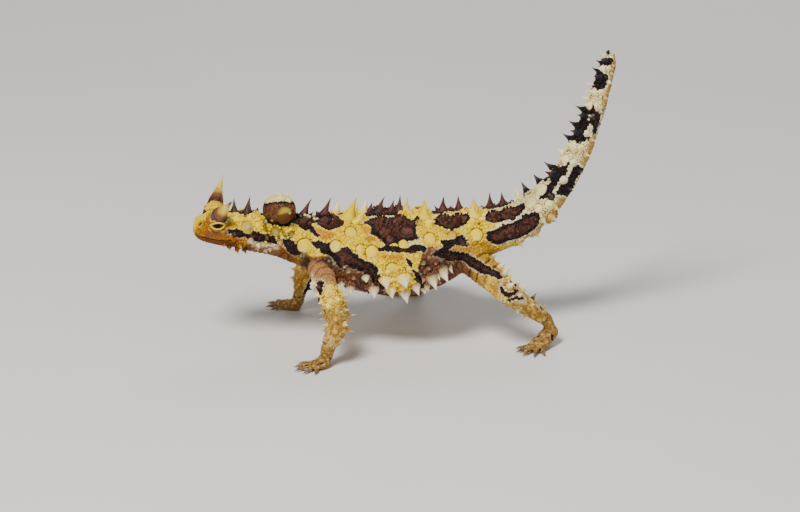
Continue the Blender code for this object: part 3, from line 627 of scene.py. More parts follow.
def markings(points):
    """Every marking's values at points on or near the skin: ground colour, how deep the point
    lies in a dark patch, how russet that patch is inside, and how pale its border is. The
    points' places on the trunk come with them."""
    places = along, _, arc, out = trunk_coordinates(points)
    far = points[:, 1] > 0
    u = DRAWN_MIDDLE + (along - DRAWN_MIDDLE) / stretch(arc)
    u = u + far * (1.6 * np.sin(arc * 0.45 + along * 0.11) + 0.8)
    v = arc / narrowing(along) + far * 0.9 * np.sin(along * 0.33 + 1.0)
    edge = 0.22 * rumple(points, 2.4, 5) + 0.08 * rumple(points, 0.9, 6)
    cloud, speck = rumple(points, 6.0, 1), rumple(points, 1.6, 2)
    crown = np.where(far, deepest(u, arc, CROWN_PATCHES), OUTSIDE)
    russet = np.maximum(deepest(u, v, RUSSET_PATCHES), crown)
    black = deepest(u, v, BLACK_PATCHES)
    core = np.where(russet >= black, 1.0, 0.0)
    dark = np.minimum(np.maximum(russet, black), -deepest(u, v, PALE_FLECKS)) + edge

    low = v + edge
    under = arc / ARC_TABLE[np.clip(np.round(along).astype(int), 0, len(ARC_ALONG) - 1), -1]
    flank = v - np.interp(u, *YELLOW_EDGE.T)
    below_mouth = mouth_height(points[:, 0]) - points[:, 2] + edge
    muzzle = fall(along, 11, 16) * ramp(arc, 2.6, 4.6)
    jaw = fall(along, 13, 17)
    neck = window(along, 14, 17, 30, 34)
    body = window(along, 32, 36, 92, 100)
    tail = ramp(along, 94, 112)
    colour = layered(
        np.tile(YELLOW, (len(points), 1)),
        (PALE_YELLOW, ramp(cloud + speck * 0.5, 0.1, 1.1) * 0.75),
        (OCHRE, ramp(-cloud + speck * 0.5, 0.55, 1.5) * 0.45),
        (RUST, ramp(deepest(u, v, ORANGE_PATCHES) + edge, -0.5, 0.9) * 0.7),
        # The head: tan snout, brown jaw.
        (SNOUT_TAN, fall(along, 9, 12.5) * ramp(arc + edge * 2, 1.6, 4.2) * 0.9),
        (FLANK_RUSSET, ramp(outline_depth(u, v, CHEEK_RUST) + edge, -0.8, 0.8) * 0.75),
        (JAW_BROWN, muzzle * ramp(rumple(points, 1.5, 33), 0.0, 0.9) * 0.5),
        (YELLOW, muzzle * ramp(-rumple(points, 2.0, 34), 0.3, 1.0) * 0.4),
        (SNOUT_TAN, jaw * ramp(low, 11.0, 12.0)),
        (JAW_BROWN, jaw * ramp(below_mouth, -0.1, 0.5) * 0.85),
        # Throat and neck: tan, then a cream band, then brown.
        (SNOUT_TAN, neck * ramp(low, 10.9, 11.6)),
        (THROAT_CREAM, ramp(along + edge * 2, 17.5, 19) * fall(along, 25, 28) * ramp(low, 11.2, 12.0)),
        (JAW_BROWN, neck * ramp(low, 13.4, 14.4) * 0.85),
        (JAW_BROWN, window(along, 26, 29, 33, 37) * ramp(low, 14.0, 15.5) * 0.8),
        # Flanks and belly.
        (FLANK_RUSSET, body * ramp(flank + edge * 2, -0.3, 0.6)),
        (BLACK, body * ramp(flank, -0.2, 0.8) * ramp(cloud - speck * 0.4, 0.15, 0.75) * 0.85),
        (RUST, body * ramp(flank, 0.5, 2) * ramp(speck - cloud, 0.7, 1.6) * 0.35),
        (HIP_OCHRE, ramp(outline_depth(u, v, HIP_PATCH) + edge, -0.5, 0.5) * 0.9),
        (BELLY_TAN, window(along, 34, 40, 100, 112) * ramp(under, 0.68, 0.8)),
        (CREAM, ramp(along, 34, 40) * ramp(under, 0.8, 0.95) * ramp(speck + cloud, -0.2, 0.8) * 0.6),
        # The tail turns cream, with a tan underside.
        (CREAM, tail),
        (OCHRE, tail * ramp(cloud + speck, 0.6, 1.7) * 0.45),
        (LIMB_TAN, tail * ramp(under + edge * 0.08, 0.50, 0.62) * 0.8),
        (OCHRE, tail * ramp(under, 0.55, 0.7) * ramp(speck, -0.2, 0.9) * 0.7),
    )
    # Borders of dark patches are cream, palest along the back line and towards the tail.
    border = 0.16 + 0.84 * ramp(along, 90, 102) + 0.3 * ramp(speck + cloud, 0.4, 1.6)
    border = border + 0.7 * window(u, 65, 68, 77, 80) * window(v, 13.5, 15, 17, 18.5)
    on_back = window(along, 30, 34, 112, 116)
    line = BACK_LINE_HALF_WIDTH - np.abs(arc + 0.25 * np.sin(along * 0.5)) + 0.08 * speck
    line = line * on_back - 3 * (1 - on_back)
    dark = np.minimum(dark, -line * 0.7)
    border = np.maximum(border, ramp(line, -1.2, -0.4))

    # Legs take over where a point stands clear of the trunk's own section.
    for limb in LIMBS.values():
        place, turn, away = limb.coordinates(points)
        share = ramp(out, 1.03, 1.22) * fall(away, 1.7, 2.1)
        limb_colour, limb_dark, limb_core = limb_markings(limb, place, turn, points, cloud, speck, edge)
        colour = layered(colour, (limb_colour, share))
        dark = dark + (limb_dark - dark) * share
        core = core + (limb_core - core) * share
        border = border + (0.45 - border) * share
    # Granular hands and feet, and painted shade in the creases over all.
    hand = fall(points[:, 2], 5.0, 7.0) * ramp(out, 1.3, 1.6)
    grain = rumple(points, 1.1, 18)
    colour = layered(
        colour,
        (HAND_BROWN, hand * (0.95 - 0.4 * ramp(speck - cloud * 0.5, 0.1, 1.0))),
        (GRANULE_TAN, hand * ramp(grain, 0.1, 0.6) * 0.75),
        (GAP_SPECK_AND_SHADE, hand * ramp(-grain, 0.2, 0.7) * 0.7),
        (CREASE_SHADE, np.minimum(creases(points, along, arc, out), 1) * 0.85),
    )
    dark = dark + (np.minimum(rumple(points, 2.0, 17) * 2.0 - 1.7, 0.4) - dark) * hand
    core = core * (1 - 0.5 * hand)
    border = border * (1 - hand)
    return {"ground": np.clip(colour, 0, 1), "dark": dark, "core": core, "border": border}, places


# Fold lines of the neck: place along, distance down from the back line.
NECK_FOLDS = (
    ((15.3, 0.6), (15.9, 4.0), (15.1, 8.6)), ((21.4, 3.0), (22.0, 6.0), (22.8, 9.4)),
    ((24.2, 4.0), (25.0, 6.6), (26.3, 9.2)),
    ((26.4, 4.6), (27.2, 7.0), (28.6, 9.6)),
)


def creases(points, along, arc, out):
    """How deep in a crease of neck, shoulder or hip each point lies, 0 to 1."""
    body = fall(out, 1.03, 1.12)
    depth = 0.6 * groove(along - 17.0 + 0.3 * np.sin(arc * 0.5), 0.5) * ramp(arc, 9, 11) * body
    for fold in NECK_FOLDS:
        for (ax, ay), (bx, by) in zip(fold, fold[1:]):
            ex, ey = bx - ax, by - ay
            share = np.clip(((along - ax) * ex + (arc - ay) * ey) / (ex**2 + ey**2), 0, 1)
            away = np.hypot(along - ax - ex * share, arc - ay - ey * share)
            depth = np.maximum(depth, 1.25 * groove(away, 0.55) * body)
    slope = np.sin(along * 1.15 + arc * 0.62 + 0.5 * rumple(points, 9, 11))
    wrinkled = window(along, 24, 27, 31, 34) * window(arc, 6, 8, 10, 12)
    depth = np.maximum(depth, 1.1 * ramp(slope, 0.62, 0.95) * wrinkled * body)
    for limb in LIMBS.values():
        place, turn, away = limb.coordinates(points)
        leg = fall(away, 1.4, 1.9) * ramp(out, 0.94, 1.06)
        wave = ramp(np.sin(place * 1.9 + 1.7 * np.sin(turn + 0.6) + 0.6 * rumple(points, 7, 12)), 0.55, 0.95)
        depth = np.maximum(depth, wave * leg * fall(place, 0.6 * limb.elbow, 0.82 * limb.elbow))
        bend = ramp(np.cos(turn), 0.2, 0.8) if limb.kind == "fore" else 1.0
        depth = np.maximum(depth, 0.6 * wave * leg * ramp(place, limb.length - 5, limb.length - 2) * bend)
    return depth


def limb_markings(limb, place, turn, points, cloud, speck, edge):
    """Ground colour, depth in a dark patch and how russet it is, on one leg."""
    share = place / limb.elbow
    grain = rumple(points, 1.3, 19)
    lower = ramp(share, 0.9, 1.1)
    wrist = np.maximum(ramp(place, limb.length - 4, limb.length), fall(points[:, 2], 4, 6.5))
    colour = layered(
        np.tile(LIMB_TAN, (len(points), 1)),
        (LIMB_CREAM, ramp(cloud + speck, -0.2, 1.2) * 0.7),
        (OCHRE, ramp(-cloud + speck, 0.4, 1.4) * 0.5),
        # Painted shade: dark between the granules below the elbow or knee.
        (GAP_SPECK_AND_SHADE, ramp(-grain, 0.25, 0.8) * lower * 0.45),
        (LIMB_CREAM, ramp(grain, 0.2, 0.7) * lower * 0.5),
        (HAND_BROWN, wrist * ramp(speck - cloud, -0.9, 0.4) * 0.85),
    )
    core = np.full(len(points), 0.9)
    if limb.kind == "hind":
        middle = np.interp(share, *THIGH_STRIPE)
        colour = layered(
            colour,
            (HIP_OCHRE, fall(share, 0.5, 0.75) * 0.8),
            (LIMB_LEMON, fall(np.abs(share - 0.92), 0.12, 0.26) * ramp(speck + cloud, -1.2, 0.2) * 0.8),
            (FLANK_RUSSET, ramp(middle - turn, 0.3, 0.6) * fall(share, 0.4, 0.55) * 0.9),
        )
        dark = np.minimum(1.75 - np.abs(turn - middle) * 4.6, (0.86 - share) * 12) + edge
        for along_knee, round_knee, size in KNEE_SPOTS:
            knee = size - np.hypot((share - along_knee) * 9, (turn - round_knee) * 2.4) + 2 * edge
            dark = np.maximum(dark, np.minimum(knee, 0.6) - 0.5)
    else:
        colour = layered(
            colour,
            (SHOULDER_BROWN, fall(share, 0.7, 0.88) * 0.9),
            (CREAM, fall(np.abs(turn + 1.7), 0.35, 0.75) * window(share, 0.3, 0.4, 0.85, 0.95) * 0.8),
            (LIMB_LEMON, fall(np.abs(share - 1.03), 0.08, 0.20) * 0.85),
        )
        dark = np.minimum(1.6 - np.hypot((share - 0.85) * 9, (turn + 0.95) * 3.3) + edge, 1.5)
        if limb.side == FAR:
            dark = np.maximum(dark, np.minimum((np.abs(turn) - 2.0) * 3, (share - 0.9) * 9) + edge)
    return colour, dark, core


# The skin

HORN_BASE = np.array([-59.5, 5.7, 43.9])
HORN_AXIS = unit(np.array([0.26, 0.74, 0.62]))
HORN_LENGTH, HORN_RADIUS = 10.8, 2.3
EYE_CENTRE = np.array([-60.0, 6.0, 41.1])
EYE_RADIUS = 1.95
NOSTRIL = np.array([-65.4, 2.8, 41.0])
EAR = np.array([-51.4, 8.3, 36.8])
KNOB_CENTRE = np.array([-39.8, 0.0, 43.0])
KNOB_SIZES = np.array([5.1, 6.0, 4.9])
MOUTH_CORNER_X = -55.6
VOXEL = 0.42
# In front of this x the head's mesh is made finer.
HEAD_REAR = -47.5
TRUNK_SIDES, LIMB_SIDES = 56, 28
# How far the trunk's skin lies inside the solids, for the coat's depth.
COAT_DEPTH = 0.22


def mouth_height(x):
    share = (x - TRUNK_STATIONS[0, 0]) / (MOUTH_CORNER_X - TRUNK_STATIONS[0, 0])
    return 36.9 - 1.5 * share + 0.7 * share * share


def skin_shells():
    """Closed shells that overlap, which the remesh below fuses into one skin."""
    snout = np.linspace(0, 3, 9)
    places = np.unique(np.concatenate([snout, np.arange(3, TRUNK_LENGTH, 1.1), [TRUNK_LENGTH]]))
    turns = np.arange(TRUNK_SIDES) * FULL_TURN / TRUNK_SIDES
    shells = [tube([trunk_surface(np.full(TRUNK_SIDES, s), turns, -COAT_DEPTH) for s in places])]
    for side in (NEAR, FAR):
        mirror = np.array([1, side, 1])
        shells.append(ellipsoid((EYE_CENTRE + (0.2, -0.9, 0.1)) * mirror, (3.5, 2.3, 2.9)))
        axis, base = HORN_AXIS * mirror, HORN_BASE * mirror
        first, second = cross_axes(axis)
        shells.append(tube([
            ring_of(base - axis * d, first[0], second[0], r, r, 16)
            for d, r in ((3.6, 3.4), (1.6, 3.2), (0.2, 2.5), (-0.6, 1.6))
        ]))
    for limb in LIMBS.values():
        steps = np.linspace(0, limb.length, 34)
        turns = np.arange(LIMB_SIDES) * FULL_TURN / LIMB_SIDES
        rings = [limb.surface(np.full(LIMB_SIDES, t), turns)[0] for t in steps]
        shells.append(tube(rings))
        wrist, run, radius = limb.line[-1], limb.run[-1], limb.radius[-1]
        heel, knuckle, _, side = limb.hand()
        sink = unit(heel - wrist)
        rings = []
        for centre, way, r in (
            (wrist - run * 2, run, 1.0), (wrist, run, 1.0),
            (wrist + (heel - wrist) * 0.6 + run * 0.4, unit(run + sink), 0.96),
            (heel + (0, 0, 0.2), sink, 0.85),
        ):
            first, second = cross_axes(way)
            rings.append(ring_of(centre, first[0], second[0], radius * r, radius * r, 20))
        shells.append(tube(rings))
        along = unit(knuckle - heel)
        lift = np.cross(along, side)
        shells.append(tube([
            ring_of(heel + (knuckle - heel) * share, side, lift, wide, tall, 20)
            for share, wide, tall in PALM_RINGS
        ]))
        for points in digit_lines(limb):
            rings = []
            for i, (point, radius) in enumerate(points):
                low, high = points[max(i - 1, 0)][0], points[min(i + 1, len(points) - 1)][0]
                a, b = cross_axes(unit(high - low))
                rings.append(ring_of(point, a[0], b[0], radius, radius, 12))
            shells.append(tube(rings))
    return shells


def turned(vector, degrees):
    c, s = math.cos(math.radians(degrees)), math.sin(math.radians(degrees))
    return np.array([vector[0] * c - vector[1] * s, vector[0] * s + vector[1] * c, vector[2]])


def digit_lines(limb):
    """For each digit, its points and radii from inside the palm to the root of the claw."""
    _, knuckle, ahead, _ = limb.hand()
    lines = []
    for angle, length in zip(DIGIT_ANGLES, DIGIT_LENGTHS):
        way = turned(ahead, angle)
        base = knuckle + (way - ahead) * 1.6 - way * 1.2
        reach = length + 1.2
        lines.append([
            (base + way * reach * share + np.array([0, 0, up]), DIGIT_RADIUS * thick)
            for share, up, thick in DIGIT_RINGS
        ])
    return lines


def remeshed(shells, size):
    points, faces = joined(shells)
    mesh = bpy.data.meshes.new("shells")
    mesh.from_pydata(points, [], faces)
    work = bmesh.new()
    work.from_mesh(mesh)
    bmesh.ops.recalc_face_normals(work, faces=work.faces)
    work.to_mesh(mesh)
    work.free()
    helper = bpy.data.objects.new("shells", mesh)
    bpy.context.scene.collection.objects.link(helper)
    step = helper.modifiers.new("Fuse", "REMESH")
    step.mode = "VOXEL"
    step.voxel_size = size
    bpy.context.view_layer.update()
    fused = bpy.data.meshes.new_from_object(helper.evaluated_get(bpy.context.evaluated_depsgraph_get()))
    bpy.data.objects.remove(helper)
    bpy.data.meshes.remove(mesh)
    return fused


def read_mesh(mesh):
    points = np.empty(len(mesh.vertices) * 3, np.float32)
    mesh.vertices.foreach_get("co", points)
    edges = np.empty(len(mesh.edges) * 2, np.int32)
    mesh.edges.foreach_get("vertices", edges)
    return points.reshape(-1, 3).astype(float), edges.reshape(-1, 2)


def relaxed(points, edges, weight, rounds):
    """Points drawn towards the mean of their neighbours."""
    count = np.bincount(edges.ravel(), minlength=len(points))[:, None]
    for _ in range(rounds):
        total = np.zeros_like(points)
        for axis in range(3):
            total[:, axis] = np.bincount(edges[:, 0], points[edges[:, 1], axis], len(points)) + np.bincount(
                edges[:, 1], points[edges[:, 0], axis], len(points)
            )
        points = points + (total / np.maximum(count, 1) - points) * weight
    return points


def vertex_normals(mesh):
    normals = np.empty(len(mesh.vertices) * 3, np.float32)
    mesh.vertices.foreach_get("normal", normals)
    return normals.reshape(-1, 3).astype(float)


def skin_shape():
    """The fused skin, finer on the head, relaxed, then creased and rumpled."""
    fused = remeshed(skin_shells(), VOXEL)
    work = bmesh.new()
    work.from_mesh(fused)
    head = [f for f in work.faces if f.calc_center_median().x < HEAD_REAR]
    edges = {e for f in head for e in f.edges}
    bmesh.ops.subdivide_edges(work, edges=list(edges), cuts=1, use_grid_fill=True)
    bmesh.ops.triangulate(work, faces=[f for f in work.faces if len(f.verts) > 4])
    work.to_mesh(fused)
    work.free()
    points, edges = read_mesh(fused)
    along, _, arc, out = trunk_coordinates(points)
    points = relaxed(points, edges, 0.5, 6)
    roots = np.zeros(len(points))
    for limb in LIMBS.values():
        near_root = np.linalg.norm(
            points - limb.surface(np.array([9.0]), np.array([0.0]), -limb.radius[0])[0], axis=1,
        )
        roots = np.maximum(roots, ramp(-near_root, -8.5, -4.0))
    points = relaxed(points, edges, 0.5 * roots[:, None], 26)
    fused.vertices.foreach_set("co", points.astype(np.float32).ravel())
    fused.update()
    normals = vertex_normals(fused)

    push = -0.55 * creases(points, along, arc, out)
    belly = ramp(arc, 20, 26) * window(along, 40, 46, 78, 86)
    push -= 0.22 * np.maximum(np.sin(arc * 1.1 + rumple(points, 12, 13)), 0) ** 3 * belly
    push += 0.16 * rumple(points, 7.0, 14) + 0.07 * rumple(points, 2.2, 15)
    # The mouth line with its lips, nostrils with their rims, and ears.
    x, z = points[:, 0], points[:, 2]
    below = z - mouth_height(x)
    on_mouth = fall(x, MOUTH_CORNER_X - 0.6, MOUTH_CORNER_X + 0.4)
    push -= 0.42 * groove(below, 0.22) * on_mouth
    push += 0.14 * groove(below - 0.55, 0.4) * on_mouth
    push -= 0.10 * ramp(-below, 0.1, 0.5) * ramp(below, -3, -1.5) * on_mouth
    nostril = np.linalg.norm((folded(points) - NOSTRIL) * (1.25, 1.0, 0.55), axis=1)
    push -= 0.95 * groove(nostril, 0.6) - 0.22 * groove(nostril - 1.05, 0.28)
    push -= 0.6 * groove(np.linalg.norm((folded(points) - EAR) * (1.3, 1.0, 0.8), axis=1), 0.9)
    points = points + normals * push[:, None]
    points[:, 2] = np.maximum(points[:, 2], 0.02)
    fused.vertices.foreach_set("co", points.astype(np.float32).ravel())
    fused.update()
    # Painted shade for the skin's colour: dark in the mouth groove and the nostrils.
    opening = np.maximum(groove(below, 0.26) * on_mouth, groove(nostril, 0.7))
    return fused, points, opening


# Thorns and scales

# Thorns of the left side by row: place along, distance down from the back line, foot radius,
# height, and how far the thorn leans up from level in degrees.
LEFT_THORNS = (
    # next to the back line
    (34.5, 2.4, 1.7, 3.4, 34), (40.5, 3.6, 1.9, 3.4, 30), (47.4, 2.6, 2.9, 9.2, 86),
    (58.8, 4.8, 1.7, 3.6, 28),
    (66.0, 5.8, 2.1, 2.6, 28), (75.4, 4.0, 2.9, 6.4, 84), (82.0, 4.9, 1.6, 3.4, 30),
    (86.5, 4.9, 1.7, 3.4, 28),
    (91.0, 4.2, 2.7, 5.6, 84), (97.2, 4.6, 1.6, 3.2, 28), (103.2, 4.6, 1.8, 3.4, 26),
    (111.8, 4.2, 1.8, 4.8, 60),
    # along the side of the back
    (20.0, 3.6, 2.0, 2.2, 55), (25.6, 7.4, 1.4, 1.6, 30), (48.0, 10.1, 1.9, 3.6, 34),
    (59.5, 11.4, 2.0, 3.2, 30),
    (67.8, 11.1, 2.0, 3.2, 30), (75.2, 14.4, 1.9, 3.2, 10), (82.8, 12.2, 1.4, 2.6, 24),
    (90.2, 11.1, 2.0, 3.4, 18),
    (101.2, 10.6, 1.5, 3.0, 14), (108.0, 10.2, 1.4, 3.0, 10), (116.0, 8.4, 1.6, 3.8, 10),
    # the flank
    (34.8, 13.0, 2.3, 2.6, 2), (43.8, 14.8, 1.9, 2.8, 18), (51.2, 17.2, 1.5, 2.4, 12),
    (54.8, 18.4, 2.0, 2.8, 8),
    (65.5, 16.7, 1.5, 2.0, 18), (61.0, 14.4, 1.4, 2.0, 20), (85.2, 13.9, 1.4, 2.2, 10),
    (113.4, 12.6, 1.7, 4.0, -20),
    (107.0, 15.4, 1.3, 3.0, -42), (102.0, 16.0, 1.2, 2.6, -50),
    # low on the flank, pointing down
    (48.8, 23.6, 1.1, 1.5, -10), (54.0, 26.5, 1.5, 2.3, -36), (61.2, 24.4, 1.8, 1.8, -12),
    (59.6, 27.8, 2.1, 4.0, -48),
    (64.8, 27.4, 2.6, 4.8, -50), (57.0, 31.4, 2.0, 4.0, -55), (51.0, 31.2, 1.6, 3.2, -58),
    (65.4, 33.4, 2.1, 4.0, -60),
    (68.4, 30.6, 1.7, 4.0, -58), (71.6, 30.6, 1.2, 2.6, -62), (76.6, 24.2, 2.2, 5.2, -64),
    (73.2, 27.2, 2.1, 5.4, -66), (79.0, 23.4, 1.2, 2.6, -60),
    (75.0, 26.4, 1.2, 2.6, -60), (45.0, 27.6, 1.4, 2.6, -50),
    (61.6, 31.6, 1.9, 4.0, -56), (48.4, 29.4, 1.3, 2.4, -54), (70.8, 32.6, 1.2, 2.4, -60),
    (82.4, 22.6, 0.9, 1.6, -50),
    (71.4, 22.6, 1.0, 1.4, -14), (75.0, 24.4, 0.9, 1.3, -20), (78.6, 22.0, 1.0, 1.4, -20),
    (44.6, 24.0, 0.9, 1.2, -10),
    (50.8, 26.6, 0.8, 1.1, -10), (46.6, 21.0, 0.8, 1.0, 0), (52.6, 29.2, 0.9, 1.4, -30),
    (69.6, 20.6, 0.9, 1.1, -8),
    (73.4, 20.6, 0.8, 1.0, -8), (77.0, 24.6, 0.8, 1.2, -30), (80.6, 20.4, 0.9, 1.1, -10),
    (42.6, 19.4, 0.8, 1.0, 0),
    # the side of the neck and throat
    (23.4, 9.4, 1.1, 2.4, -8), (27.6, 11.4, 0.9, 1.8, -20), (30.6, 8.6, 1.0, 1.5, 10),
    (21.4, 12.6, 0.9, 1.5, -30),
    (25.2, 13.8, 0.8, 1.3, -40), (30.4, 16.4, 0.9, 1.6, -40),
)
# The right side's row next to the back line shows over the skyline.
SKYLINE_THORNS = (
    (34.6, 6.2), (40.9, 5.8), (44.4, 4.8, 1), (50.6, 4.0), (53.4, 4.8, 1), (55.8, 4.0), (59.0, 6.4),
    (64.0, 4.0), (67.2, 6.0), (69.8, 5.4),
    (76.8, 4.6), (83.0, 5.2), (88.0, 5.2), (92.6, 4.0), (97.6, 4.8), (102.6, 4.8), (109.4, 5.0),
)
TAIL_RINGS = (
    # place along, height of the pair next to the back line, of the side pair, of the low pair
    (112.6, 4.6, 3.0, 2.8), (118.0, 3.8, 3.4, 3.0), (125.0, 4.0, 3.0, 2.4), (131.4, 3.4, 3.2, 2.2),
    (136.8, 3.6, 3.0, 2.2),
    (141.8, 3.6, 2.8, 2.0), (147.4, 3.3, 2.6, 1.8), (151.2, 2.8, 2.3, 1.8), (155.8, 3.1, 2.1, 1.6),
    (161.0, 2.6, 1.8, 1.3),
    (163.8, 2.2, 1.5, 1.1), (166.4, 1.7, 1.2, 0.8),
)
# Head thorns: place, direction, height, foot radius, for the right side, and the share of the
# height that the left side's has.
HEAD_THORNS = (
    ((-56.4, 4.4, 42.0), (0.35, 0.20, 0.90), 3.0, 1.1, 0.7),
    ((-53.8, 3.2, 41.7), (0.05, 0.16, 1.0), 4.8, 1.5, 0.4),
    ((-49.6, 2.9, 41.2), (0.06, 0.12, 1.0), 6.2, 1.9, 0.35),
    ((-50.6, 6.2, 39.7), (0.20, 0.85, 0.45), 2.0, 1.9, 1.0),
    ((-49.9, 7.0, 35.6), (0.30, 0.90, -0.25), 2.0, 1.2, 1.0),
    ((-53.2, 7.8, 34.6), (0.20, 0.85, -0.45), 1.6, 1.0, 1.0),
    ((-56.4, 6.6, 33.6), (0.05, 0.70, -0.70), 1.3, 0.7, 1.0),
    ((-51.4, 5.2, 32.0), (0.20, 0.50, -0.80), 1.5, 0.8, 1.0),
    ((-53.9, 5.9, 32.3), (0.10, 0.60, -0.75), 1.4, 0.7, 1.0),
    ((-63.2, 2.8, 42.3), (-0.45, 0.25, 0.85), 1.0, 0.9, 1.0),
    ((-54.8, 8.1, 38.2), (0.10, 1.0, 0.1), 0.9, 0.8, 1.0),
    ((-62.2, 5.8, 37.8), (-0.4, 0.9, 0.0), 0.6, 0.7, 1.0),
    ((-58.0, 7.6, 34.8), (0.0, 0.9, -0.4), 0.7, 0.6, 1.0),
    ((-47.6, 5.8, 32.8), (0.2, 0.7, -0.7), 1.3, 0.8, 1.0),
    ((-45.0, 6.6, 32.0), (0.2, 0.8, -0.6), 1.2, 0.7, 1.0),
)
# Legs: place as a share of the whole limb, angle from its top, height, foot radius.
LIMB_THORNS = {
    "fore": (
        (0.36, -1.5, 1.4, 1.0), (0.41, -1.2, 1.9, 1.2), (0.45, -1.7, 2.2, 1.2), (0.49, -1.3, 1.6, 1.0),
        (0.38, -2.1, 1.5, 0.9),
        (0.26, -1.7, 1.6, 1.0), (0.31, -1.5, 2.0, 1.2), (0.33, -2.0, 1.8, 1.1), (0.47, 0.1, 1.8, 1.5),
        (0.50, 0.9, 1.6, 1.4),
        (0.53, 0.2, 1.6, 1.3), (0.55, 1.3, 1.8, 1.4), (0.40, 2.4, 1.6, 1.0), (0.47, 1.2, 1.5, 1.0),
        (0.52, 2.9, 2.6, 1.2), (0.55, 2.0, 2.0, 1.3), (0.57, 1.0, 1.8, 1.2),
        (0.60, 3.4, 2.4, 1.1), (0.62, 0.0, 2.2, 1.0), (0.64, 2.5, 1.8, 1.1), (0.68, 1.4, 1.8, 1.0),
        (0.70, -0.3, 2.6, 1.0),
        (0.71, 3.3, 2.6, 1.0), (0.75, 2.2, 1.6, 1.0), (0.79, 0.3, 2.4, 0.9), (0.80, 3.0, 2.3, 0.9),
        (0.83, 1.4, 1.5, 0.9),
        (0.86, -0.2, 2.4, 0.9), (0.88, 2.5, 1.8, 0.85), (0.92, 0.7, 1.8, 0.8), (0.94, 3.2, 1.6, 0.8),
        (0.74, -1.4, 1.6, 0.9),
        (0.84, -1.6, 1.5, 0.8), (0.62, -1.5, 1.6, 0.9), (0.93, -0.9, 1.6, 0.7),
    ),
    "hind": (
        (0.25, 0.5, 2.6, 1.4), (0.29, 1.0, 2.2, 1.2), (0.36, 0.5, 2.8, 1.4), (0.40, 0.7, 3.2, 1.5),
        (0.38, 1.3, 1.8, 1.1), (0.44, 0.2, 3.0, 1.4), (0.47, 0.6, 2.2, 1.3), (0.50, 2.4, 1.8, 1.1),
        (0.53, -0.2, 3.6, 1.4), (0.56, 1.2, 1.7, 1.2), (0.60, 0.2, 3.4, 1.4), (0.61, 2.2, 1.6, 1.1),
        (0.66, -0.5, 2.8, 1.2),
        (0.68, 1.0, 1.5, 1.1), (0.72, 0.3, 2.8, 1.1), (0.74, 1.9, 1.4, 1.0), (0.78, -0.3, 2.6, 1.0),
        (0.82, 0.8, 1.5, 0.95),
        (0.85, 0.1, 2.2, 0.9), (0.88, 1.7, 1.2, 0.85), (0.91, -0.3, 1.8, 0.8), (0.94, 0.9, 1.2, 0.75),
        (0.70, 3.0, 1.4, 0.9),
        (0.80, 2.8, 1.3, 0.85), (0.62, -1.5, 1.4, 0.9), (0.77, -1.6, 1.3, 0.8),
    ),
}


class Cones:
    """Gathers many turned forms, such as thorns or scales, into a few joined meshes."""

    def __init__(self):
        self.rows = []

    def add(self, base, way, radius, height, turn=0.0, shade=0.5):
        self.rows.append((np.asarray(base, float), unit(np.asarray(way, float)), radius, height, turn, shade))

    def arrays(self):
        """Bases, directions, radii, heights, turns and shades."""
        return tuple(np.array(column) for column in zip(*self.rows))


def turned_forms(base, way, radius, height, turn, profile, sides, ridge=0.0, lean=None):
    """Points, triangles and how far up its form each point lies, for all forms at once.
    The profile is rows of (radius share, height share, fixed sink in millimetres)."""
    first, second = cross_axes(way)
    count, rings = len(base), len(profile)
    angles = turn[:, None] + np.arange(sides) * FULL_TURN / sides
    points = np.zeros((count, rings * sides + 1, 3))
    rise = np.zeros((count, rings * sides + 1))
    for r, (wide, tall, sink) in enumerate(profile):
        flute = 1 + ridge * np.cos(5 * (angles - turn[:, None])) * min(1.0, wide * 1.5)
        spread = (radius[:, None] * wide * flute)[..., None]
        middle = base + way * (height * tall - sink)[:, None]
        if lean is not None:
            middle = middle + lean * (height * tall * tall)[:, None]
        points[:, r * sides:(r + 1) * sides] = (
            middle[:, None]
            + first[:, None] * np.cos(angles)[..., None] * spread
            + second[:, None] * np.sin(angles)[..., None] * spread
        )
        rise[:, r * sides:(r + 1) * sides] = tall
    points[:, -1] = base + way * height[:, None] + (lean * height[:, None] if lean is not None else 0)
    rise[:, -1] = 1
    k = np.arange(sides)
    j = (k + 1) % sides
    pattern = []
    for r in range(rings - 1):
        low, high = r * sides, (r + 1) * sides
        pattern += [np.stack([low + k, low + j, high + j], 1), np.stack([low + k, high + j, high + k], 1)]
    top = (rings - 1) * sides
    pattern.append(np.stack([top + k, top + j, np.full(sides, rings * sides)], 1))
    pattern = np.concatenate(pattern)
    triangles = (pattern[None] + (np.arange(count) * (rings * sides + 1))[:, None, None]).reshape(-1, 3)
    return points, triangles, rise


def atlas_place(points, coordinates):
    """Where a root lies on an unwrap of the skin's own shape: the trunk is one sheet, each leg
    another, between 0 and 1."""
    along, angle, _, out = coordinates
    u = 0.02 + 0.62 * along / TRUNK_LENGTH
    v = 0.5 + 0.48 * angle / math.pi * np.sign(points[:, 1])
    for index, limb in enumerate(LIMBS.values()):
        place, turn, away = limb.coordinates(points)
        own = (out > 1.1) & (away < 2.6)
        u[own] = 0.68 + 0.3 * place[own] / limb.length
        v[own] = 0.02 + 0.25 * index + 0.22 * (turn[own] / FULL_TURN + 0.5)
        wrist = limb.line[-1]
        beyond = own & (np.linalg.norm(points - wrist, axis=1) > 2.4) & (points[:, 2] < 4.2)
        u[beyond] = 0.98 - 0.10 * np.clip((points[beyond, 0] - limb.toe[0] + 4) / 18, 0, 1)
    return np.stack([u, v], 1)


PATCH = 0.003
MOST_TRIANGLES = 190000


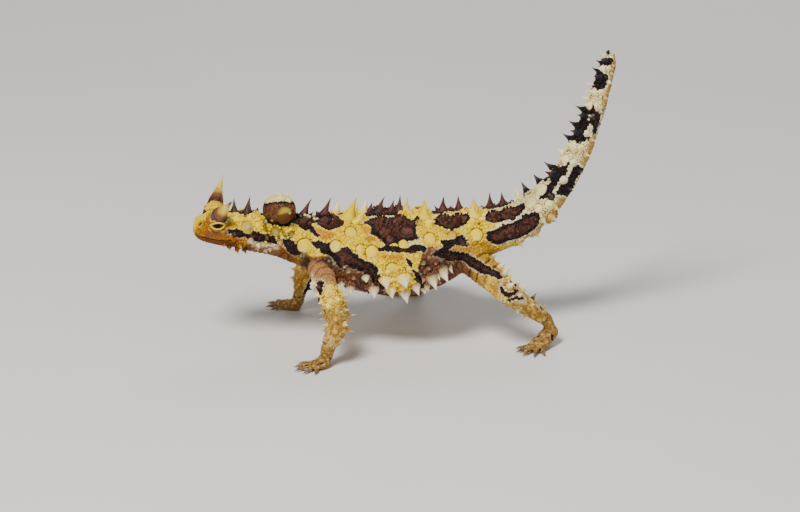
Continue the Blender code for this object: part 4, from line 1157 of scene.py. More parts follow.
def add_bake_patches(mesh, places, rings, sides):
    """Gives each turned form a small patch of the map, at its root's place."""
    angle = np.tile(np.append(np.tile(np.arange(sides), rings), 0) * FULL_TURN / sides, len(places))
    reach = np.tile(np.append(np.repeat(1 - np.linspace(0, 0.9, rings), sides), 0), len(places))
    where = np.repeat(places, rings * sides + 1, 0)
    where = where + np.stack([np.cos(angle), np.sin(angle)], 1) * (reach * PATCH / 2)[:, None]
    layer = mesh.uv_layers.new(name="OFBake")
    corners = np.empty(len(mesh.loops), np.int32)
    mesh.loops.foreach_get("vertex_index", corners)
    layer.data.foreach_set("uv", where[corners].astype(np.float32).ravel())


def coat_pieces(name, cones, material, profile, sides, ridge=0.0, lean=None, values=None, places=None):
    """Turns gathered cones into joined meshes, each with the skin's markings at its roots."""
    base, way, radius, height, turn, shade = cones.arrays()
    read, coordinates = markings(base)
    values = values or read
    if places is None:
        places = atlas_place(base, coordinates)
    batch = MOST_TRIANGLES // ((len(profile) - 1) * sides * 2 + sides)
    for number, start in enumerate(range(0, len(base), batch), 1):
        part = slice(start, start + batch)
        points, triangles, rise = turned_forms(
            base[part], way[part], radius[part], height[part], turn[part], profile, sides, ridge,
            None if lean is None else lean[part],
        )
        mesh = mesh_from(name, points.reshape(-1, 3), triangles)
        corners = points.shape[1]
        lower = (base[part, None, 2] - points[:, :, 2]) / radius[part, None]
        add_attributes(mesh, {
            **{key: np.repeat(rows[part], corners, 0) for key, rows in values.items()},
            "rise": rise.ravel(),
            "lower": np.clip(lower, -1, 1).ravel(),
            "shade": np.repeat(shade[part], corners),
        })
        add_bake_patches(mesh, places[part], len(profile), sides)
        place_piece(f"{name}_{number}", mesh, material, "skin")


def on_trunk(along, arc, side):
    """A surface point, outward normal, and the local level-outward, up and backward directions."""
    angle = angle_of(along, arc) * side

    def place(further=0.0, turned_by=0.0):
        return trunk_surface(np.array(along + further), np.array(angle + turned_by))

    here = place()
    ahead, across = place(0.3) - place(-0.3), place(0, 0.03) - place(0, -0.03)
    normal = unit(np.cross(ahead, across))
    row = trunk_at(along)
    back = np.array([row[5], 0, row[6]])
    up = np.array([-row[6], 0, row[5]])
    if normal @ (here - np.array([row[0], 0, row[1]])) < 0:
        normal = -normal
    return here, normal, np.array([0, side, 0.0]), up, back


def gather_thorns():
    """Sharp thorns, and blunt ones that stand out as rounded bosses."""
    thorns, bosses, stout = Cones(), Cones(), Cones()
    draw = np.random.default_rng(41)

    def one(along, arc, radius, height, lean, side, backward=0.12, fit=True, shade=None):
        if fit:
            along = DRAWN_MIDDLE + (along - DRAWN_MIDDLE) * stretch(arc)
            arc = arc * float(narrowing(along))
        if shade is None:
            shade = draw.uniform(0.6, 1.0) if along > 100 else draw.uniform(0.0, 0.5)
            if lean < -20 and along < 90 and radius > 0.95:
                shade = 1.5
        here, normal, outward, up, back = on_trunk(along, arc, side)
        tilt = math.radians(lean)
        way = unit(outward * math.cos(tilt) + up * math.sin(tilt) + back * backward + normal * 0.25)
        blunt = arc > 6.5 and height < 1.9 * radius and lean > -30
        if blunt and along < 33:
            shade = -0.3
        gathered = bosses if blunt else stout if shade > 1 else thorns
        gathered.add(
            here - normal * 0.15, way, radius, height * (0.36 if blunt else 1.0), draw.uniform(0, 6), shade,
        )
        if not blunt and radius > 1.25 and along < 112:
            satellites(here, normal, way, radius, height)

    def satellites(here, normal, way, radius, height):
        """Small spikes standing round the foot of a large one."""
        first, second = cross_axes(normal)
        count = int(draw.integers(5, 8))
        start = draw.uniform(0, 6)
        tall = 1.35 if height > 4.5 and radius > 2 else 1.0
        for k in range(count):
            turn = start + FULL_TURN * k / count + draw.uniform(-0.3, 0.3)
            outward = first[0] * math.cos(turn) + second[0] * math.sin(turn)
            share = draw.uniform(0.22, 0.44) * tall
            thorns.add(
                here + outward * radius * THORN_FOOT - normal * 0.1,
                normal * 0.8 + outward * 0.95 + way * 0.3,
                radius * draw.uniform(0.36, 0.52), height * share, draw.uniform(0, 6), draw.uniform(0, 1),
            )

    for along, arc, radius, height, lean in LEFT_THORNS:
        one(along, arc, radius, height, lean, NEAR)
        if arc > 10.5 or along > 108 or along < 30:
            one(
                along + draw.uniform(-1, 1), arc + draw.uniform(-0.6, 0.6),
                radius * draw.uniform(0.9, 1.05), height, lean, FAR,
            )
    for along, height, *cream in SKYLINE_THORNS:
        one(along, 4.0, 1.75, height, 84, FAR, shade=2.0 if cream else None)
    for along, tall, side_tall, low_tall in TAIL_RINGS:
        for side in (NEAR, FAR):
            angle_scale = ARC_TABLE[int(along)][-1] / math.pi
            size = np.interp(along, (112, 168), (1.5, 0.75))
            if along > 114:
                one(
                    along + (side > 0) * 1.2, 0.42 * angle_scale, size * 1.4, tall * 1.18, 62, side, 0.0,
                    False,
                )
            one(along + 0.8, 1.22 * angle_scale, size * 0.95, side_tall * 0.8, 8, side, 0.1, False)
            one(along - 0.6, 1.9 * angle_scale, size * 0.85, low_tall, -34, side, 0.12, False)
    for place, way, height, radius, near_share in HEAD_THORNS:
        for side, share in ((NEAR, near_share), (FAR, 1.0)):
            mirror = np.array([1, side, 1])
            thorns.add(
                np.array(place) * mirror, np.array(way) * mirror, radius, height * share,
                draw.uniform(0, 6), 0.6,
            )
    for limb in LIMBS.values():
        for share, turn, height, radius in LIMB_THORNS[limb.kind]:
            here, way = limb.surface(np.array([share * limb.length]), np.array([turn]))
            run = limb.run[int(share * LIMB_STEPS)]
            if height >= 2.8:
                stout.add(
                    here[0] - way[0] * 0.2, way[0] + run * 0.12, radius * 0.8, height * 1.15,
                    draw.uniform(0, 6), 1.5,
                )
            else:
                thorns.add(
                    here[0] - way[0] * 0.2, way[0] + run * 0.12, radius * 0.95, height, draw.uniform(0, 6),
                    0.9,
                )
    return thorns, bosses, stout


# Share of a thorn's radius that its foot reaches, and the least radius that gets a ring of scales.
THORN_FOOT, RINGED_RADIUS = 1.12, 1.0
# Radius of the scales on hands and feet, and the space that each scale takes, in its own radii.
HAND_SCALE, SCALE_SPACING = 0.32, 1.66


def scattered(points, spacing, seed):
    """A subset of skin points no closer than the spacing at each, in a fixed random order."""
    cells, kept = {}, []
    keys = np.floor(points / float(spacing.max())).astype(int)
    around = tuple(itertools.product((-1, 0, 1), repeat=3))
    for i in np.random.default_rng(seed).permutation(len(points)):
        (kx, ky, kz), (x, y, z) = keys[i].tolist(), points[i].tolist()
        least = float(spacing[i]) ** 2
        near = (q for dx, dy, dz in around for q in cells.get((kx + dx, ky + dy, kz + dz), ()))
        if all((x - q[0]) ** 2 + (y - q[1]) ** 2 + (z - q[2]) ** 2 >= least for q in near):
            kept.append(i)
            cells.setdefault((kx, ky, kz), []).append((x, y, z))
    return np.array(kept)


# A ring of scales round a thorn: its gap from the thorn's foot, and its spacing. Below the last
# height no scale grows.
RING_GAP, RING_SPACING, LOWEST_SCALE = 0.38, 0.95, 0.45


def gather_scales(points, normals, forms, coordinates, depth_in_dark):
    """Rounded scales all over the skin, larger on the back, with a ring round every large thorn."""
    scales = Cones()
    draw = np.random.default_rng(77)
    along, _, arc, out = coordinates
    base, way, radius = (np.concatenate(rows) for rows in zip(*(form.arrays()[:3] for form in forms)))
    first, second = cross_axes(way)
    for b, w, r, f, s in zip(base, way, radius, first, second):
        if r < RINGED_RADIUS:
            continue
        reach = r * THORN_FOOT + RING_GAP
        count = int(FULL_TURN * reach / RING_SPACING)
        for k in range(count):
            turn = FULL_TURN * k / count + draw.uniform(-0.1, 0.1)
            out_way = f * math.cos(turn) + s * math.sin(turn)
            scales.add(
                b + out_way * reach, w * 0.8 + out_way * 0.5, 0.46 * draw.uniform(0.85, 1.15), 0.42,
                draw.uniform(0, 6), draw.uniform(0, 1),
            )
    size = 0.40 + 0.08 * fall(arc, 4, 14) - 0.08 * fall(along, 12, 20) - 0.06 * ramp(along, 110, 150)
    size = size - 0.05 * ramp(out, 1.1, 1.3) + 0.10 * (rumple(points, 3.0, 31) > 0.55)
    plate = ramp(-depth_in_dark, 0.2, 0.7) * fall(arc, 20, 26) * fall(out, 1.05, 1.12) * ramp(along, 12, 20)
    size = size + plate * (0.14 + 0.22 * ramp(rumple(points, 2.6, 32), -0.3, 0.9))
    for limb in LIMBS.values():
        place, turn, away = limb.coordinates(points)
        knee = fall(np.abs(place / limb.elbow - 1.02), 0.08, 0.16)
        size = size + 0.14 * knee * ramp(out, 1.1, 1.3) * fall(away, 1.1, 1.3)
    size = np.where((points[:, 2] < 4.5) & (out > 1.4), HAND_SCALE, size)
    kept = scattered(points, size * SCALE_SPACING, 5)
    # Clear of the thorns' own feet, the eye opening, nostrils and the mouth line.
    blocked = np.zeros(len(kept), bool)
    places = points[kept]
    for b, w, r in zip(base, way, radius):
        offset = places - b
        level = np.linalg.norm(offset - np.outer(offset @ w, w), axis=1)
        clear = r * THORN_FOOT + (0.55 if r >= RINGED_RADIUS else 0.1)
        blocked |= (level < clear) & (np.linalg.norm(offset, axis=1) < r + 2.0)
    for centre, squash, least in (
        (EYE_CENTRE + (0, 0.4, 0), (1, 1, 1), EYE_RADIUS + 0.35), (NOSTRIL, (1.25, 1, 0.6), 0.95),
        (HORN_BASE, (1, 1, 1), HORN_RADIUS),
    ):
        blocked |= np.linalg.norm((folded(places) - centre) * squash, axis=1) < least
    from_mouth = np.abs(places[:, 2] - mouth_height(places[:, 0]))
    blocked |= (from_mouth < 0.26) & (places[:, 0] < MOUTH_CORNER_X + 0.5)
    blocked |= places[:, 2] < LOWEST_SCALE
    for i in kept[~blocked]:
        s = size[i] * draw.uniform(0.8, 1.15)
        tall = min(0.5 * s, 0.20 + 0.12 * s)
        scales.add(points[i] - normals[i] * 0.05, normals[i], s, tall, draw.uniform(0, 6), draw.uniform(0, 1))
    return scales


# Materials

COLOUR, NUMBER = "NodeSocketColor", "NodeSocketFloat"


def node_group(name, inputs, outputs):
    """A shader node group whose sockets are given as a kind and the labels of that kind."""
    group = bpy.data.node_groups.new(name, "ShaderNodeTree")
    for way, sockets in (("INPUT", inputs), ("OUTPUT", outputs)):
        for kind, labels in sockets:
            for label in labels.split():
                group.interface.new_socket(label, in_out=way, socket_type=kind)
    return group, group.nodes.new("NodeGroupInput").outputs, group.nodes.new("NodeGroupOutput").inputs


def feed(tree, socket, value):
    """Gives a socket a number or a colour, or links another node's output to it."""
    if isinstance(value, bpy.types.NodeSocket):
        tree.links.new(value, socket)
    else:
        socket.default_value = (*value, 1) if isinstance(value, tuple) else value


def node_with(tree, kind, **settings):
    """A node with the settings that its kind has beside its sockets."""
    node = tree.nodes.new(kind)
    for name, value in settings.items():
        setattr(node, name, value)
    return node


def math_node(tree, operation, *values, clamp=False):
    node = node_with(tree, "ShaderNodeMath", operation=operation, use_clamp=clamp)
    for socket, value in zip(node.inputs, values):
        feed(tree, socket, value)
    return node.outputs[0]


def soft_step(tree, value, low, high):
    """0 below the low value, 1 above the high one, with soft ends."""
    node = node_with(tree, "ShaderNodeMapRange", interpolation_type="SMOOTHSTEP")
    for label, given in (("Value", value), ("From Min", low), ("From Max", high)):
        feed(tree, node.inputs[label], given)
    return node.outputs["Result"]


def mixed(tree, factor, first, second, blend="MIX"):
    node = node_with(tree, "ShaderNodeMix", data_type="RGBA", blend_type=blend)
    for index, value in ((0, factor), (6, first), (7, second)):
        feed(tree, node.inputs[index], value)
    return node.outputs[2]


def object_place(tree):
    return tree.nodes.new("ShaderNodeTexCoord").outputs["Object"]


def noise(tree, scale, detail=3.0):
    node = tree.nodes.new("ShaderNodeTexNoise")
    for label, value in (
        ("Scale", scale), ("Detail", detail), ("Roughness", 0.55), ("Vector", object_place(tree)),
    ):
        feed(tree, node.inputs[label], value)
    return node.outputs["Fac"]


def markings_group():
    """Ground colour, dark patches with black rims and pale borders, and painted shade in the low places at
    the foot of each form.
    """
    group, given, result = node_group(
        "hide_markings",
        ((COLOUR, "Ground"), (NUMBER, "Dark Core Border Shade Rise Hollow Rim")),
        ((COLOUR, "Color"), (NUMBER, "Roughness Darkness")),
    )
    fine, broad = noise(group, 900.0), noise(group, 260.0)
    depth = math_node(group, "SUBTRACT", math_node(group, "MULTIPLY_ADD", fine, 0.2, given["Dark"]), 0.1)
    dark = soft_step(group, depth, -0.07, 0.07)
    border = math_node(group, "MULTIPLY", soft_step(group, depth, -0.8, -0.4), given["Border"])
    wander = math_node(group, "MULTIPLY_ADD", broad, 1.2, -0.6)
    inner = math_node(group, "SUBTRACT", math_node(group, "ADD", depth, wander), given["Rim"])
    core = math_node(group, "MULTIPLY", soft_step(group, inner, -0.25, 0.45), given["Core"])
    grey = group.nodes.new("ShaderNodeCombineColor")
    for socket in grey.inputs:
        feed(group, socket, math_node(group, "MULTIPLY_ADD", given["Shade"], 0.34, 0.80))
    ground = mixed(group, 1.0, given["Ground"], grey.outputs[0], "MULTIPLY")
    mottled = mixed(group, soft_step(group, fine, 0.5, 0.78), ground, (0.34, 0.12, 0.01))
    ground = mixed(group, border, mixed(group, 0.2, ground, mottled), (0.90, 0.82, 0.50))
    russet = mixed(group, soft_step(group, fine, 0.35, 0.7), (0.030, 0.010, 0.009), (0.12, 0.040, 0.028))
    black = mixed(group, soft_step(group, broad, 0.5, 0.72), BLACK, (0.006, 0.009, 0.020))
    colour = mixed(group, dark, ground, mixed(group, core, black, russet))
    # Painted shade: the low part of each scale or thorn darkens towards brown, as far as the hollow input
    # asks.
    low = math_node(group, "SUBTRACT", 1.0, given["Rise"], clamp=True)
    low = math_node(group, "MULTIPLY", low, given["Hollow"])
    feed(group, result["Color"], mixed(group, low, colour, (0.06, 0.020, 0.006)))
    feed(group, result["Roughness"], math_node(group, "MULTIPLY_ADD", broad, 0.22, 0.42))
    feed(group, result["Darkness"], dark)
    return group


def grain_group():
    """Two colours in a fine grain."""
    group, given, result = node_group(
        "two_tone_grain", ((COLOUR, "Low High"), (NUMBER, "Scale From To")), ((COLOUR, "Color"),)
    )
    share = soft_step(group, noise(group, given["Scale"]), given["From"], given["To"])
    feed(group, result["Color"], mixed(group, share, given["Low"], given["High"]))
    return group


def crack_group():
    """Small plates parted by cracks: 0 in a crack, 1 on a plate."""
    group, given, result = node_group("fine_cracks", ((NUMBER, "Scale Width"),), ((NUMBER, "Plate"),))
    cells = node_with(group, "ShaderNodeTexVoronoi", feature="DISTANCE_TO_EDGE")
    feed(group, cells.inputs["Scale"], given["Scale"])
    feed(group, cells.inputs["Vector"], object_place(group))
    feed(group, result["Plate"], soft_step(group, cells.outputs["Distance"], 0.0, given["Width"]))
    return group


MARKINGS, GRAIN, CRACKS = markings_group(), grain_group(), crack_group()


def placed(tree, group, **values):
    """The outputs of a node group that is placed with its own values."""
    node = node_with(tree, "ShaderNodeGroup", node_tree=group)
    for label, value in values.items():
        feed(tree, node.inputs[label], value)
    return node.outputs


def grained(tree, low, high, scale, start=0.35, end=0.65):
    return placed(tree, GRAIN, Low=low, High=high, Scale=scale, From=start, To=end)["Color"]


def cracked(tree, scale, width):
    return placed(tree, CRACKS, Scale=scale, Width=width)["Plate"]


def attribute(tree, name, output="Fac"):
    return node_with(tree, "ShaderNodeAttribute", attribute_name=name).outputs[output]


def new_material(name, roughness=0.5, specular=0.5):
    made = bpy.data.materials.new(name)
    made.use_nodes = True
    shader = made.node_tree.nodes["Principled BSDF"]
    shader.inputs["Roughness"].default_value = roughness
    shader.inputs["Specular IOR Level"].default_value = specular
    return made, made.node_tree


def finished(made, colour, relief=None, depth=0.0, strength=0.8):
    """Joins a colour, and a relief with its depth in metres, to the material's own shader."""
    tree = made.node_tree
    shader = tree.nodes["Principled BSDF"]
    feed(tree, shader.inputs["Base Color"], colour)
    if relief is not None:
        node = tree.nodes.new("ShaderNodeBump")
        for label, value in (("Distance", depth), ("Strength", strength), ("Height", relief)):
            feed(tree, node.inputs[label], value)
        feed(tree, shader.inputs["Normal"], node.outputs["Normal"])
    return made


def use_markings(tree, rim, hollow_shade, rise=1.0, shade=0.5):
    """The markings that skin and coat carry: their colour, with painted shade in the low places, and how dark
    the patch is.
    """
    drawn = placed(
        tree, MARKINGS, Ground=attribute(tree, "ground", "Color"), Dark=attribute(tree, "dark"),
        Core=attribute(tree, "core"), Border=attribute(tree, "border"), Rim=rim, Hollow=hollow_shade,
        Rise=rise, Shade=shade,
    )
    feed(tree, tree.nodes["Principled BSDF"].inputs["Roughness"], drawn["Roughness"])
    return drawn["Color"], drawn["Darkness"]


def foot_crease_shade(tree, rise, reach, soft, colour, tone, weight=0.8):
    """A dark line round the foot of a thorn or boss: painted shade in the crease where it meets the skin."""
    foot = soft_step(tree, math_node(tree, "SUBTRACT", reach, rise), 0.0, soft)
    return mixed(tree, math_node(tree, "MULTIPLY", foot, weight), colour, tone)


def skin_material():
    made, tree = new_material("painted_hide", specular=0.12)
    colour, _ = use_markings(tree, 1.3, 0.0)
    # Painted shade: dark in the mouth groove and nostrils.
    colour = mixed(tree, soft_step(tree, attribute(tree, "mouth"), 0.25, 0.8), colour, (0.05, 0.014, 0.008))
    plate = cracked(tree, 900.0, 0.16)
    seam = mixed(tree, math_node(tree, "SUBTRACT", 1.0, plate), colour, (0.14, 0.055, 0.02))
    return finished(made, mixed(tree, 0.45, colour, seam), plate, 0.00025)


def scale_material():
    made, tree = new_material("hide_scales", specular=0.15)
    # Painted shade darkens the low part of every scale, between the scales.
    colour, _ = use_markings(tree, 1.3, 0.5, attribute(tree, "rise"), attribute(tree, "shade"))
    return finished(made, colour, noise(tree, 2600.0, 2.0), 0.00006, 0.5)


def thorn_material():
    """Thorns: their patch's colour at the foot, paler yellow or greyish brown towards the tip."""
    made, tree = new_material("hide_thorns", specular=0.22)
    rise, shade = attribute(tree, "rise"), attribute(tree, "shade")
    ground, darkness = use_markings(tree, 0.2, 0.0, shade=shade)
    white = mixed(tree, 0.65, ground, (0.90, 0.84, 0.56))
    pale = mixed(tree, soft_step(tree, shade, 0.2, 0.9), ground, white)
    brown = mixed(tree, soft_step(tree, rise, 0.45, 1.0), (0.15, 0.060, 0.038), (0.035, 0.018, 0.016))
    tip = mixed(tree, darkness, pale, brown)
    colour = mixed(tree, soft_step(tree, rise, 0.25, 0.95), ground, tip)
    # Stout thorns are cream, and those with the highest shade stand on a yellow foot.
    base = mixed(tree, 0.45, ground, (0.60, 0.40, 0.12))
    base = mixed(tree, soft_step(tree, shade, 1.6, 1.9), base, (0.92, 0.62, 0.01))
    cream = mixed(tree, soft_step(tree, rise, 0.0, 0.7), base, (0.90, 0.82, 0.52))
    colour = mixed(tree, soft_step(tree, shade, 1.05, 1.3), colour, cream)
    # Painted shade in the crease round the thorn's foot.
    colour = foot_crease_shade(tree, rise, 0.06, 0.05, colour, (0.05, 0.020, 0.006))
    return finished(made, colour, noise(tree, 1800.0), 0.0001, 0.5)


def boss_material():
    """Rounded bosses: their patch's colour, a dark line of painted shade round the foot, a little paler on
    top.
    """
    made, tree = new_material("hide_bosses", specular=0.16)
    rise, shade = attribute(tree, "rise"), attribute(tree, "shade")
    ground, darkness = use_markings(tree, 0.2, 0.0, shade=shade)
    paler = mixed(tree, 0.7, ground, (1.0, 0.90, 0.42))
    edge = math_node(
        tree, "MULTIPLY",
        soft_step(tree, attribute(tree, "lower"), 0.15, 0.65), soft_step(tree, shade, -0.6, 0.0),
    )
    crest = math_node(tree, "MULTIPLY", soft_step(tree, rise, 0.4, 1.0), 0.25)
    top = math_node(tree, "MAXIMUM", math_node(tree, "MULTIPLY", edge, 0.75), crest)
    colour = mixed(tree, top, ground, mixed(tree, darkness, paler, (0.20, 0.065, 0.035)))
    colour = foot_crease_shade(tree, rise, 0.17, 0.08, colour, (0.06, 0.022, 0.004))
    return finished(made, colour, noise(tree, 1100.0, 4.0), 0.00022)


def plain_material(name, low, high, scale, roughness, specular=0.5, depth=0.0001):
    made, tree = new_material(name, roughness, specular)
    return finished(made, grained(tree, low, high, scale), noise(tree, scale * 3), depth, 0.6)


def banded(tree, value, colour, *bands):
    """A colour with others laid over it, each from where the value passes its two numbers."""
    for low, high, tone in bands:
        colour = mixed(tree, soft_step(tree, value, low, high), colour, tone)
    return colour


def horn_material():
    made, tree = new_material("horn_keratin", 0.38)
    rise = attribute(tree, "rise")
    # Painted shade: the left horn's tip is dark brown where the right one's stays pale.
    tip = mixed(tree, attribute(tree, "tip_shade"), (0.72, 0.64, 0.36), (0.05, 0.022, 0.010))
    body = banded(tree, rise, (0.17, 0.052, 0.012), (0.26, 0.50, (0.80, 0.58, 0.06)), (0.66, 0.92, tip))
    # Painted shade: a dark band where the horn meets the skin.
    body = mixed(tree, soft_step(tree, rise, 0.10, 0.24), (0.07, 0.018, 0.006), body)
    streak = math_node(tree, "MULTIPLY", soft_step(tree, noise(tree, 700.0), 0.5, 0.7), 0.6)
    return finished(made, mixed(tree, streak, body, (0.26, 0.10, 0.015)), noise(tree, 900.0), 0.00035)


def lid_material():
    """Pale yellow rims, then a dark band of painted shade in the fold, and tan skin further from the opening.
    """
    made, tree = new_material("lid_rims", 0.5, 0.25)
    rim = grained(tree, (0.60, 0.37, 0.03), (0.80, 0.58, 0.11), 900.0)
    skin = grained(tree, (0.38, 0.15, 0.008), (0.66, 0.36, 0.01), 700.0, 0.4, 0.6)
    # The first band is painted shade in the lid's fold.
    bands = (0.16, 0.24, (0.10, 0.035, 0.006)), (0.28, 0.40, skin)
    colour = banded(tree, attribute(tree, "share"), rim, *bands)
    return finished(made, colour, noise(tree, 2200.0), 0.0001, 0.6)


def eye_material():
    """A black pupil and a dark brown iris, by degrees from the gaze."""
    made, tree = new_material("wet_eye", 0.12, 0.14)
    bands = (24, 26, (0.035, 0.014, 0.004)), (34, 60, (0.015, 0.007, 0.004))
    return finished(made, banded(tree, attribute(tree, "off_axis"), (0.0015, 0.001, 0.001), *bands))


def knob_material():
    """A cream cap over a black line, brown sides and a black base."""
    made, tree = new_material("knob_hide", specular=0.4)
    brown = grained(tree, (0.05, 0.018, 0.012), (0.19, 0.070, 0.026), 700.0, 0.35, 0.7)
    cap = grained(tree, (0.88, 0.69, 0.20), (0.92, 0.82, 0.44), 700.0, 0.3, 0.7)
    capped = banded(tree, attribute(tree, "lift"), brown, (0.30, 0.34, BLACK), (0.46, 0.50, cap))
    colour = mixed(tree, soft_step(tree, attribute(tree, "low"), -0.50, -0.34), BLACK, capped)
    return finished(made, colour, cracked(tree, 700.0, 0.15), 0.0003)


def knob_thorn_material():
    """Olive thorns with growth lines, a brown lower half that is painted shade, a painted highlight near the
    tip, and cream on the cap.
    """
    made, tree = new_material("knob_thorns", 0.7, 0.1)
    rise = attribute(tree, "rise")
    body = banded(tree, rise, (0.10, 0.034, 0.010), (0.12, 0.50, (0.42, 0.31, 0.030)))
    # Painted shade: the thorn's lower half turns brown.
    body = banded(tree, attribute(tree, "lower"), body, (-0.12, 0.16, (0.13, 0.050, 0.014)))
    # A painted highlight near the tip.
    body = banded(tree, rise, body, (0.80, 0.97, (0.58, 0.48, 0.14)))
    growth = soft_step(tree, math_node(tree, "SINE", math_node(tree, "MULTIPLY", rise, 38.0)), 0.75, 1.0)
    body = mixed(tree, math_node(tree, "MULTIPLY", growth, 0.45), body, (0.05, 0.020, 0.006))
    body = mixed(tree, attribute(tree, "cap"), body, (0.86, 0.74, 0.32))
    # Painted shade in the crease round each thorn's foot.
    body = foot_crease_shade(tree, rise, 0.08, 0.06, body, (0.02, 0.008, 0.005), 1.0)
    return finished(made, body, noise(tree, 800.0), 0.0004)


# Building the lizard

FLESH = [
    "head", "neck", "torso", "nuchal_knob", "tail_base", "tail_fore", "tail_rear", "tail_tip",
    *(
        f"{part}_{word}"
        for part in ("upper_arm", "forearm", "hand", "thigh", "shank", "foot") for _, word in SIDES
    ),
]


def build_skin():
    """Places the skin, and returns what the coat grows from: its points, normals, places on the
    trunk, and depth in dark patches."""
    fused, points, opening = skin_shape()
    normals = vertex_normals(fused)
    values, coordinates = markings(points)
    fused.vertices.foreach_set("co", ((points - MIDDLE) * METRES).astype(np.float32).ravel())
    fused.update()
    fused.name = "skin"
    fused.shade_smooth()
    fused.materials.clear()
    add_attributes(fused, {**values, "mouth": opening})
    place_piece("skin", fused, skin_material(), "skin", *FLESH)
    return points, normals, coordinates, values["dark"]


# Rows of a turned form: share of its radius, share of its height, and how deep it is sunk.
THORN_PROFILE = (
    (1.16, 0.00, 0.45), (1.14, 0.015, 0.0), (1.02, 0.06, 0.0), (0.89, 0.12, 0.0), (0.75, 0.19, 0.0),
    (0.60, 0.28, 0.0), (0.46, 0.39, 0.0), (0.32, 0.53, 0.0), (0.19, 0.70, 0.0), (0.08, 0.88, 0.0),
)
BOSS_THORN_PROFILE = (
    (1.00, 0.00, 0.5), (1.02, 0.05, 0.0), (0.99, 0.12, 0.0), (0.90, 0.22, 0.0), (0.76, 0.34, 0.0),
    (0.60, 0.46, 0.0),
    (0.44, 0.58, 0.0), (0.30, 0.70, 0.0), (0.18, 0.82, 0.0), (0.08, 0.93, 0.0),
)
BOSS_PROFILE = (
    (1.12, 0.00, 0.45), (1.10, 0.03, 0.0), (1.01, 0.10, 0.0), (0.96, 0.24, 0.0), (0.85, 0.44, 0.0),
    (0.68, 0.62, 0.0), (0.48, 0.77, 0.0), (0.28, 0.89, 0.0), (0.12, 0.97, 0.0),
)
SCALE_PROFILE = ((1.0, 0.0, 0.22), (0.86, 0.55, 0.0), (0.45, 0.92, 0.0))
SCALE_SIDES = 7

# Thorns of the knob: place from its middle, direction, height and foot radius, for the right side.
KNOB_THORNS = (
    ((0.8, 4.0, -0.2), (0.25, 0.86, 0.30), 6.0, 2.9), ((-2.0, 2.6, 3.0), (-0.3, 0.4, 0.9), 1.1, 1.2),
    ((2.6, 2.0, 3.4), (0.4, 0.3, 0.85), 1.5, 1.0), ((-3.7, 2.4, -0.4), (-0.8, 0.5, 0.1), 1.0, 1.2),
    ((0.2, 1.4, 4.5), (0.0, 0.2, 1.0), 1.0, 1.3), ((3.9, 2.4, 0.4), (0.8, 0.5, 0.2), 1.1, 1.1),
    ((-2.6, 4.0, -2.0), (-0.5, 0.8, -0.2), 0.8, 1.0),
)
KNOB_THORN_SIDES = 24
KNOB_SCALES, GOLDEN_ANGLE = 900, 2.399963


def build_coat(points, normals, coordinates, depth_in_dark, scale_finish):
    thorns, bosses, stout = gather_thorns()
    lean = np.random.default_rng(9).normal(0, 0.05, (len(thorns.rows), 3)) + (0.06, 0, 0)
    finish = thorn_material()
    coat_pieces("thorns", thorns, finish, THORN_PROFILE, 16, 0.05, lean)
    coat_pieces("stout_thorns", stout, finish, BOSS_THORN_PROFILE, 18, 0.06, lean[:len(stout.rows)])
    droop = np.tile((0.25, 0.0, -0.75), (len(bosses.rows), 1))
    coat_pieces("bosses", bosses, boss_material(), BOSS_PROFILE, 22, 0.04, droop)
    scales = gather_scales(points, normals, (thorns, bosses, stout), coordinates, depth_in_dark)
    coat_pieces("scales", scales, scale_finish, SCALE_PROFILE, SCALE_SIDES)


def knob_offset(points):
    """Places from the knob's middle, in its own half sizes."""
    return (points - KNOB_CENTRE) / KNOB_SIZES


def cap_lift(offset):
    """How high on the knob a place lies, measured so that the cap hangs lower in the middle."""
    return offset[:, 2] - 0.62 * np.abs(offset[:, 1])


def knob_place(points):
    """Where a root lies on the knob's own unwrap: turn about its middle, and height."""
    way = knob_offset(points)
    turn = np.arctan2(way[:, 1], way[:, 0]) / FULL_TURN + 0.5
    return np.stack([0.04 + 0.92 * turn, 0.5 + 0.46 * np.clip(way[:, 2], -1, 1)], 1)


def build_knob_thorns():
    knobs = Cones()
    for side, _ in SIDES:
        mirror = np.array([1, side, 1])
        for offset, way, height, radius in KNOB_THORNS:
            on_cap = 1.0 if offset[2] > 3.1 else 0.0
            knobs.add(KNOB_CENTRE + offset * mirror, way * mirror, radius, height, 0, on_cap)
    base, way, radius, height, turn, on_cap = knobs.arrays()
    lean = np.tile((0.03, 0, 0.06), (len(base), 1))
    points, triangles, rise = turned_forms(
        base, way, radius, height, turn, BOSS_THORN_PROFILE, KNOB_THORN_SIDES, 0.03, lean
    )
    mesh = mesh_from("nuchal_thorns", points.reshape(-1, 3), triangles)
    # How far below its own axis each point lies, for the painted shade on the thorn's lower half.
    axis_height = base[:, 2, None] + way[:, 2, None] * height[:, None] * rise
    lower = np.clip((axis_height - points[:, :, 2]) / radius[:, None] + 0.3 * rise, -1, 1)
    on_cap = np.repeat(on_cap, points.shape[1])
    add_attributes(mesh, {"rise": rise.ravel(), "cap": on_cap, "lower": lower.ravel()})
    add_bake_patches(mesh, knob_place(base), len(BOSS_THORN_PROFILE), KNOB_THORN_SIDES)
    place_piece("nuchal_thorns", mesh, knob_thorn_material(), "skin")
    return base, way, radius


